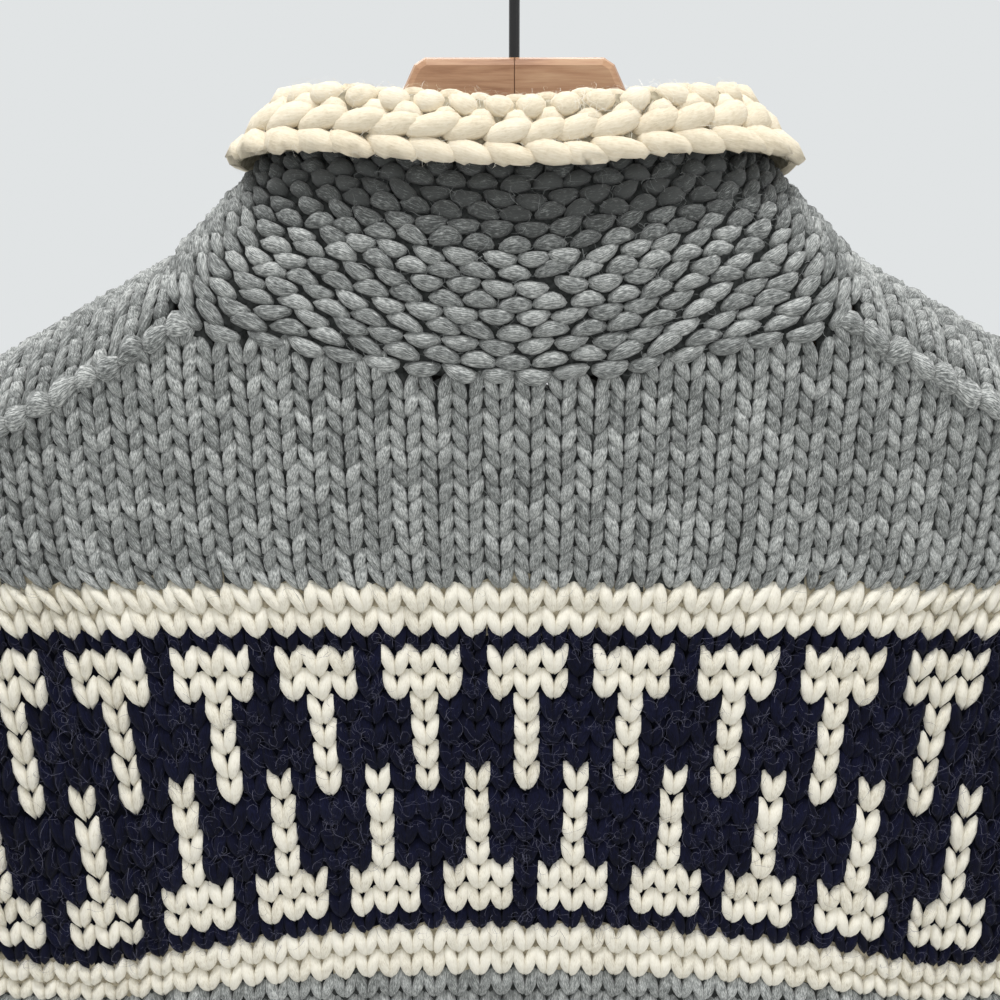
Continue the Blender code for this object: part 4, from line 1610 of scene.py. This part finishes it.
@dataclass
class CollarDress:
    """The collar's knitting: a grey garter stitch stand and a thick cream edge turned over its fold."""

    collar: Collar
    seed: int = 77
    around: int = 52
    reference: float = 100.0     # the stand's face is numbered to this at its fold
    sub_row: float = 5.5
    slant: float = 0.5           # the bumps rise towards the sides, in sub-rows over a bump's length
    flap_painted_shadow: float = 2.2      # painted shadow: how much darker the yarn is painted where the flap keeps the light off
    wall_depth: float = 5.6      # from the outer bumps' face to the inner ones', in mm
    edge_around: int = 37
    edge_run: float = 41.0
    edge_half: float = 3.2
    turn_at: float = 0.45        # the share past which the edge is flap, and takes the flap's length
    edge: tuple = (
        EdgeRow(0.00, 10.0, -3.0),
        EdgeRow(0.20, 2.0, -2.6),
        EdgeRow(0.29, -1.2, -0.4),
        EdgeRow(0.38, -2.0, 3.0),
        EdgeRow(0.47, -0.6, 6.4),
        EdgeRow(0.58, 4.0, 7.8),
        EdgeRow(0.79, 12.5, 7.2),
        EdgeRow(1.00, 21.0, 6.4),
    )
    bump_rows: tuple = (
        BumpRow(0.0, 3.5, 6.6),
        BumpRow(0.5, 9.3, 6.6),
        BumpRow(0.0, 15.0, 6.6),
        BumpRow(0.5, 21.0, 6.8),
        BumpRow(0.0, 26.0, 6.0),
    )
    chain_v: float = 33.2        # the sideways chain's middle, in mm from the edge's inner seam

    def stand(self) -> Surface:
        """The stand's face.

        Returns:
            Its outer face from u in stitches and v in mm up from the seam.
        """
        places = self.collar.even(0.25, self.around)

        def at(u: Array, v: Array) -> Array:
            """Points of the stand's face."""
            return self.collar.at(np.interp(u, np.arange(self.around + 1), places), v / self.reference)

        return at

    def rim_middle(self, t: Array, v: Array) -> Array:
        """Points in the middle of the cream edge's wall.

        Args:
            t: Where round the collar, from -1 to 1.
            v: Millimetres from its inner seam.

        Returns:
            The points.
        """
        collar = self.collar
        r = np.clip(v / self.edge_run, 0.0, 1.0)
        down, out = read(self.edge, "r", "d", r), read(self.edge, "r", "n", r)
        longer = read(collar.flap, "t", "length", np.abs(t)) / collar.flap[0].length
        down = np.where((r > self.turn_at) & (down > 0.0), down * longer, down)
        w = 1.0 - np.maximum(down, 0.0) / collar.length(t)
        face = collar.at(t, w)
        normal = normals(collar.at, t, w, 0.002, 0.002)
        sign = np.sign(np.sum(face[..., :2] * normal[..., :2], axis=-1, keepdims=True))
        up = collar.at(t, np.ones_like(t)) - collar.at(t, np.full_like(t, 0.95))
        up = up / np.linalg.norm(up, axis=-1, keepdims=True)
        return face + normal * sign * out[..., None] + up * np.maximum(-down, 0.0)[..., None]

    def rim(self) -> Surface:
        """The cream edge's face.

        Returns:
            Its outer face from u in stitches and v in mm from its inner seam.
        """
        places = self.collar.even(0.95, self.edge_around)
        sign = facing(self.rim_middle, 0.0, self.edge_run * 0.8)

        def at(u: Array, v: Array) -> Array:
            """Points of the edge's face."""
            t = np.interp(u, np.arange(self.edge_around + 1), places)
            return self.rim_middle(t, v) + normals(self.rim_middle, t, v, 0.002, 0.5) * self.edge_half * sign

        return at

    def build(self) -> None:
        """Builds the grey stand: its shell and the bumps on both its faces."""
        rng = np.random.default_rng(self.seed)
        face = self.stand()
        turned = facing(face, self.around / 2.0, 40.0)
        top = self.collar.edge_start * self.reference
        piece = shell("collar_stand", face, (0.0, float(self.around)), (0.5, top), (80, 12),
                      [Finish.GREY_BACK], (3.4, 2.6), turned)
        bumps = garter(rng, self.around, top + 4.0, self.sub_row)
        # painted shadow: the top rows of bumps, which lie under the flap, get a darker tone
        bumps.shade -= self.flap_painted_shadow * np.clip((bumps.v - 46.0) / 20.0, 0.0, 1.0)
        bumps.tilt += self.slant * np.clip((bumps.u / self.around - 0.5) / 0.12, -1.0, 1.0)
        Knitter(face, turned).lay("collar_stand_bumps", bumps, Stitch.PURL, FINE, Finish.GREY)
        Knitter(face, -turned).lay("collar_stand_inside", bumps, Stitch.PURL, COARSE, Finish.GREY,
                                   self.wall_depth)
        self.build_rim(rng)
        span = (6.0, self.edge_around - 6.0)
        Fuzz(face, turned, 10.0).grow("collar_stand_hair", span, (2.0, 80.0), 1100, Finish.GREY_HAIR,
                                      (-0.6, 1.6))

    def build_rim(self, rng: np.random.Generator) -> None:
        """Builds the cream edge: its shell, bumps over the fold, the sideways chain below them and hairs.

        Args:
            rng: The source of unevenness.
        """
        face = self.rim()
        turned = facing(face, self.edge_around / 2.0, self.edge_run * 0.8)
        piece = shell("collar_edge", face, (0.0, float(self.edge_around)), (0.5, self.edge_run - 2.0),
                      (74, 20), [Finish.CREAM_BACK], (3.0, 2.0), turned)
        rows = self.bump_rows
        count = self.edge_around
        us = [np.arange(count - int(row.shift * 2.0)) + 0.5 + row.shift for row in rows]
        sizes = [len(part) for part in us]
        v = np.repeat([row.v for row in rows], sizes)
        hand = np.repeat([1.0 if row.shift else -1.0 for row in rows], sizes)
        places = HANDMADE.places(rng, np.concatenate(us), v, 1.0, 1.0, hand)
        places.tall = np.repeat([row.tall for row in rows], sizes) * 0.95
        chain = HANDMADE.places(rng, np.repeat(np.arange(count) + 0.5, 2), np.full(count * 2, self.chain_v),
                                1.0, 1.0, np.tile([-1.0, 1.0], count))
        knitter = Knitter(face, turned)
        knitter.lay("collar_edge_bumps", places, Stitch.PURL, FINE, Finish.CREAM_SOFT, -0.9)
        knitter.lay("collar_edge_chain", chain, Stitch.CHAIN, FINE, Finish.CREAM_SOFT, 0.6)
        span = (6.0, count - 6.0)
        Fuzz(face, turned, 13.0).grow("collar_edge_hair", span, (12.0, self.edge_run), 700, Finish.CREAM_HAIR,
                                      (-0.6, 1.6))


@dataclass(frozen=True)
class Beech:
    """Pale beech, planed and lacquered: fine straight pores and a soft satin shine."""

    def material(self) -> bpy.types.Material:
        """The wood's material, with its grain and its pores drawn out along the arm.

        Returns:
            The material.
        """
        made, tree, shader = new_material("lacquered beech")
        place = object_place(tree)
        stretched = add(tree, "ShaderNodeMapping", Vector=place, Scale=(9.0, 60.0, 60.0)).outputs[0]
        grain = noise(tree, Vector=stretched, Scale=3.0, Detail=4.0, Distortion=0.6)
        pores = add(tree, "ShaderNodeMapping", Vector=place, Scale=(90.0, 900.0, 1400.0)).outputs[0]
        fleck = noise(tree, Vector=pores, Scale=1.0, Detail=2.0)
        mixed = multiply_add(tree, fleck, 0.35, grain)
        colour = ramp(tree, mixed, [(0.45, "#94694A"), (0.65, "#AE8463"), (0.85, "#BE9876")])
        connect(tree, shader, Base_Color=colour, Normal=bump(tree, fleck, 0.12, 0.0003), Roughness=0.42,
                Coat_Weight=0.15)
        return made


@dataclass(frozen=True)
class Metal:
    """Plated or painted metal, or a dull film, with fine uneven wear."""

    name: str
    colour: str
    metallic: float
    roughness: float

    def material(self) -> bpy.types.Material:
        """The metal's material, whose gloss varies over about 2 mm.

        Returns:
            The material.
        """
        made, tree, shader = new_material(self.name)
        wear = noise(tree, Vector=object_place(tree), Scale=500.0, Detail=4.0)
        rough = add(tree, "ShaderNodeMapRange", Value=wear, To_Min=self.roughness - 0.08,
                    To_Max=self.roughness + 0.12).outputs[0]
        connect(tree, shader, Base_Color=linear(self.colour), Metallic=self.metallic, Roughness=rough,
                Normal=bump(tree, wear, 0.05, 0.0001))
        return made


@dataclass(frozen=True)
class Tape:
    """Woven polyester zip tape: a fine herringbone, nearly black."""

    def material(self) -> bpy.types.Material:
        """The tape's material, with its threads as diagonal bands.

        Returns:
            The material.
        """
        made, tree, shader = new_material("woven zip tape")
        weave = bands(tree, "DIAGONAL", Vector=object_place(tree), Scale=520.0, Distortion=0.4)
        colour = ramp(tree, weave, [(0.2, "#0C0D0F"), (0.8, "#23252A")])
        connect(tree, shader, Base_Color=colour, Normal=bump(tree, weave, 0.5, 0.0003), Roughness=0.85)
        return made


@dataclass
class Hardware:
    """The hanger, its hook and the zip."""

    tooth_pitch: float = 2.6
    tooth_wide: float = 4.1
    tooth_shift: float = 0.9     # how far a tooth's middle lies from the centre
    tooth_round: float = 0.35
    core_wide: float = 1.6
    head_depth: float = 30.0     # how far the glue line runs down from the hanger's top, in mm

    @staticmethod
    def dress(material: bpy.types.Material, *nodes: str) -> None:
        """Gives CAD nodes their material.

        Args:
            material: The material.
            *nodes: The nodes.
        """
        for node in nodes:
            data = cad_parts[node].data
            data.materials.clear()
            data.materials.append(material)

    def build(self) -> None:
        """Dresses the CAD's hard nodes and builds the zip's teeth and the hanger's glue line."""
        self.dress(Beech().material(), "hanger_arm_left", "hanger_arm_right")
        self.dress(Metal("black painted wire", "#0B0B0C", 0.0, 0.35).material(), "hanger_hook")
        plated = Metal("nickel-plated brass", "#B9B7B2", 1.0, 0.3).material()
        self.dress(plated, "zip_slider", "zip_pull")
        self.dress(Tape().material(), "zip_tape_left", "zip_tape_right")
        self.teeth(plated)
        self.glue_line()

    def glue_line(self) -> None:
        """Builds the dark glue line between the hanger's two halves."""
        low, high = (np.array(corner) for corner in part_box("hanger_arm_left"))
        _, other = (np.array(corner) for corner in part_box("hanger_arm_right"))
        tall = self.head_depth * MM
        top = min(high[2], other[2]) - 0.3 * MM
        place = Vector(((low[0] + other[0]) / 2.0, (low[1] + high[1]) / 2.0, top - tall / 2.0))
        size = Matrix.Diagonal((low[0] - other[0] + 0.1 * MM, (high[1] - low[1]) * 0.94, tall, 1.0))
        mesh = bmesh.new()
        bmesh.ops.create_cube(mesh, size=1.0, matrix=Matrix.Translation(place) @ size)
        glue = Metal("dry wood glue", "#6E4A30", 0.0, 0.6).material()
        seat(from_bmesh("hanger_glue_line", mesh, glue), "hanger_wood")

    def teeth(self, plated: bpy.types.Material) -> None:
        """Builds the zip's teeth: small rounded blocks that reach past the middle from each side in turn.

        Args:
            plated: Their material.
        """
        low, high = (np.array(corner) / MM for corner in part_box("zip_chain"))
        depth, middle_y = high[1] - low[1], (low[1] + high[1]) / 2.0
        mesh = bmesh.new()
        tooth = Matrix.Diagonal((self.tooth_wide, depth * 0.9, self.tooth_pitch * 0.8, 1.0))
        for index in range(int((high[2] - low[2]) / self.tooth_pitch)):
            shift = self.tooth_shift if index % 2 else -self.tooth_shift
            place = Matrix.Translation((shift, middle_y, low[2] + (index + 0.5) * self.tooth_pitch))
            made = bmesh.ops.create_cube(mesh, size=1.0, matrix=place @ tooth)
            edges = list({edge for vert in made["verts"] for edge in vert.link_edges})
            bmesh.ops.bevel(mesh, geom=edges, offset=self.tooth_round, segments=1, profile=0.5,
                            affect="EDGES", material=-1)
        place = Matrix.Translation((0.0, middle_y + 0.4, (low[2] + high[2]) / 2.0))
        core = Matrix.Diagonal((self.core_wide, depth * 0.5, high[2] - low[2], 1.0))
        bmesh.ops.create_cube(mesh, size=1.0, matrix=place @ core)
        bmesh.ops.scale(mesh, verts=mesh.verts, vec=(MM, MM, MM))
        seat(from_bmesh("zip_teeth", mesh, plated), "zip_metal", "zip_chain")


class Lamp(NamedTuple):
    """A soft area light: its name, its place and size in metres, and its power in watts."""

    name: str
    place: tuple[float, float, float]
    size: float
    power: float


@dataclass
class Stage:
    """The camera, the light and the floor."""

    lens: float = 43.2
    eye: tuple = (5.3, 471.0, -152.5)
    pitch: float = 12.0          # how far the camera looks down, in degrees
    floor_z: float = -1250.0
    lamps: tuple = (
        Lamp("key", (0.15, 0.36, 1.18), 0.45, 15.0),
        Lamp("fill", (-0.9, 0.9, 0.0), 0.9, 1.5),
        Lamp("front", (0.2, -1.6, 0.9), 1.2, 9.0),
    )
    sky: tuple = ((0.28, "#4A4A4A"), (0.44, "#E4E7E8"), (0.62, "#E4E7E8"), (0.75, "#FFFFFF"))

    def build(self) -> None:
        """Makes them."""
        bpy.context.scene.view_settings.view_transform = "Standard"
        self.camera()
        self.world()
        for lamp in self.lamps:
            self.light(lamp)
        self.floor()

    def camera(self) -> None:
        """Makes the camera, at the photo's angle."""
        data = bpy.data.cameras.new("camera")
        data.lens = self.lens
        data.sensor_width = 36.0
        data.clip_start = 0.01
        made = scene_object("camera", data)
        made.location = Vector(self.eye) * MM
        angle = math.radians(self.pitch)
        made.rotation_euler = self.aimed(Vector((0.0, -math.cos(angle), -math.sin(angle))))
        bpy.context.scene.camera = made

    @staticmethod
    def aimed(direction: Vector) -> Euler:
        """The rotation of a camera or light that looks that way."""
        return direction.to_track_quat("-Z", "Y").to_euler()

    def world(self) -> None:
        """Makes the studio's pale surroundings, darker below."""
        world = bpy.data.worlds.new("studio")
        bpy.context.scene.world = world
        world.use_nodes = True
        tree = world.node_tree
        toward = add(tree, "ShaderNodeTexCoord").outputs["Generated"]
        up = add(tree, "ShaderNodeSeparateXYZ", Vector=toward).outputs["Z"]
        share = add(tree, "ShaderNodeMapRange", Value=up, From_Min=-1.0).outputs[0]
        connect(tree, tree.nodes["Background"], Color=ramp(tree, share, list(self.sky)), Strength=0.97)

    def light(self, lamp: Lamp) -> None:
        """Makes one soft area light that faces the cardigan's yoke.

        Args:
            lamp: Its sizes.
        """
        data = bpy.data.lights.new(lamp.name, "AREA")
        data.shape = "SQUARE"
        data.size = lamp.size
        data.energy = lamp.power
        made = scene_object(lamp.name, data)
        made.location = lamp.place
        made.rotation_euler = self.aimed(Vector((0.0, 0.0, -0.3)) - Vector(lamp.place))

    def floor(self) -> None:
        """Makes the pale matt floor far below."""
        mesh = bmesh.new()
        bmesh.ops.create_grid(mesh, x_segments=1, y_segments=1, size=4.0)
        made, tree, shader = new_material("pale matt floor")
        connect(tree, shader, Base_Color=linear("#E6E6E4"), Roughness=0.9)
        piece = from_bmesh("floor", mesh, made)
        piece.location = (0.0, 0.0, self.floor_z * MM)


def main() -> None:
    """Builds the cardigan, the camera and the light."""
    logging.basicConfig(level=logging.INFO, format="%(message)s")
    torso = Torso()
    knit = Knit(torso)
    Shells(knit).build()
    body = Body(knit)
    body.build(1.0, "back")
    body.build(-1.0, "front")
    ShoulderSeams(torso).build()
    body.build_hairs()
    Welts(knit).build()
    for side in Side:
        Sleeve(side).build()
    CollarDress(Collar(torso)).build()
    Hardware().build()
    Stage().build()


if __name__ == "__main__":
    main()
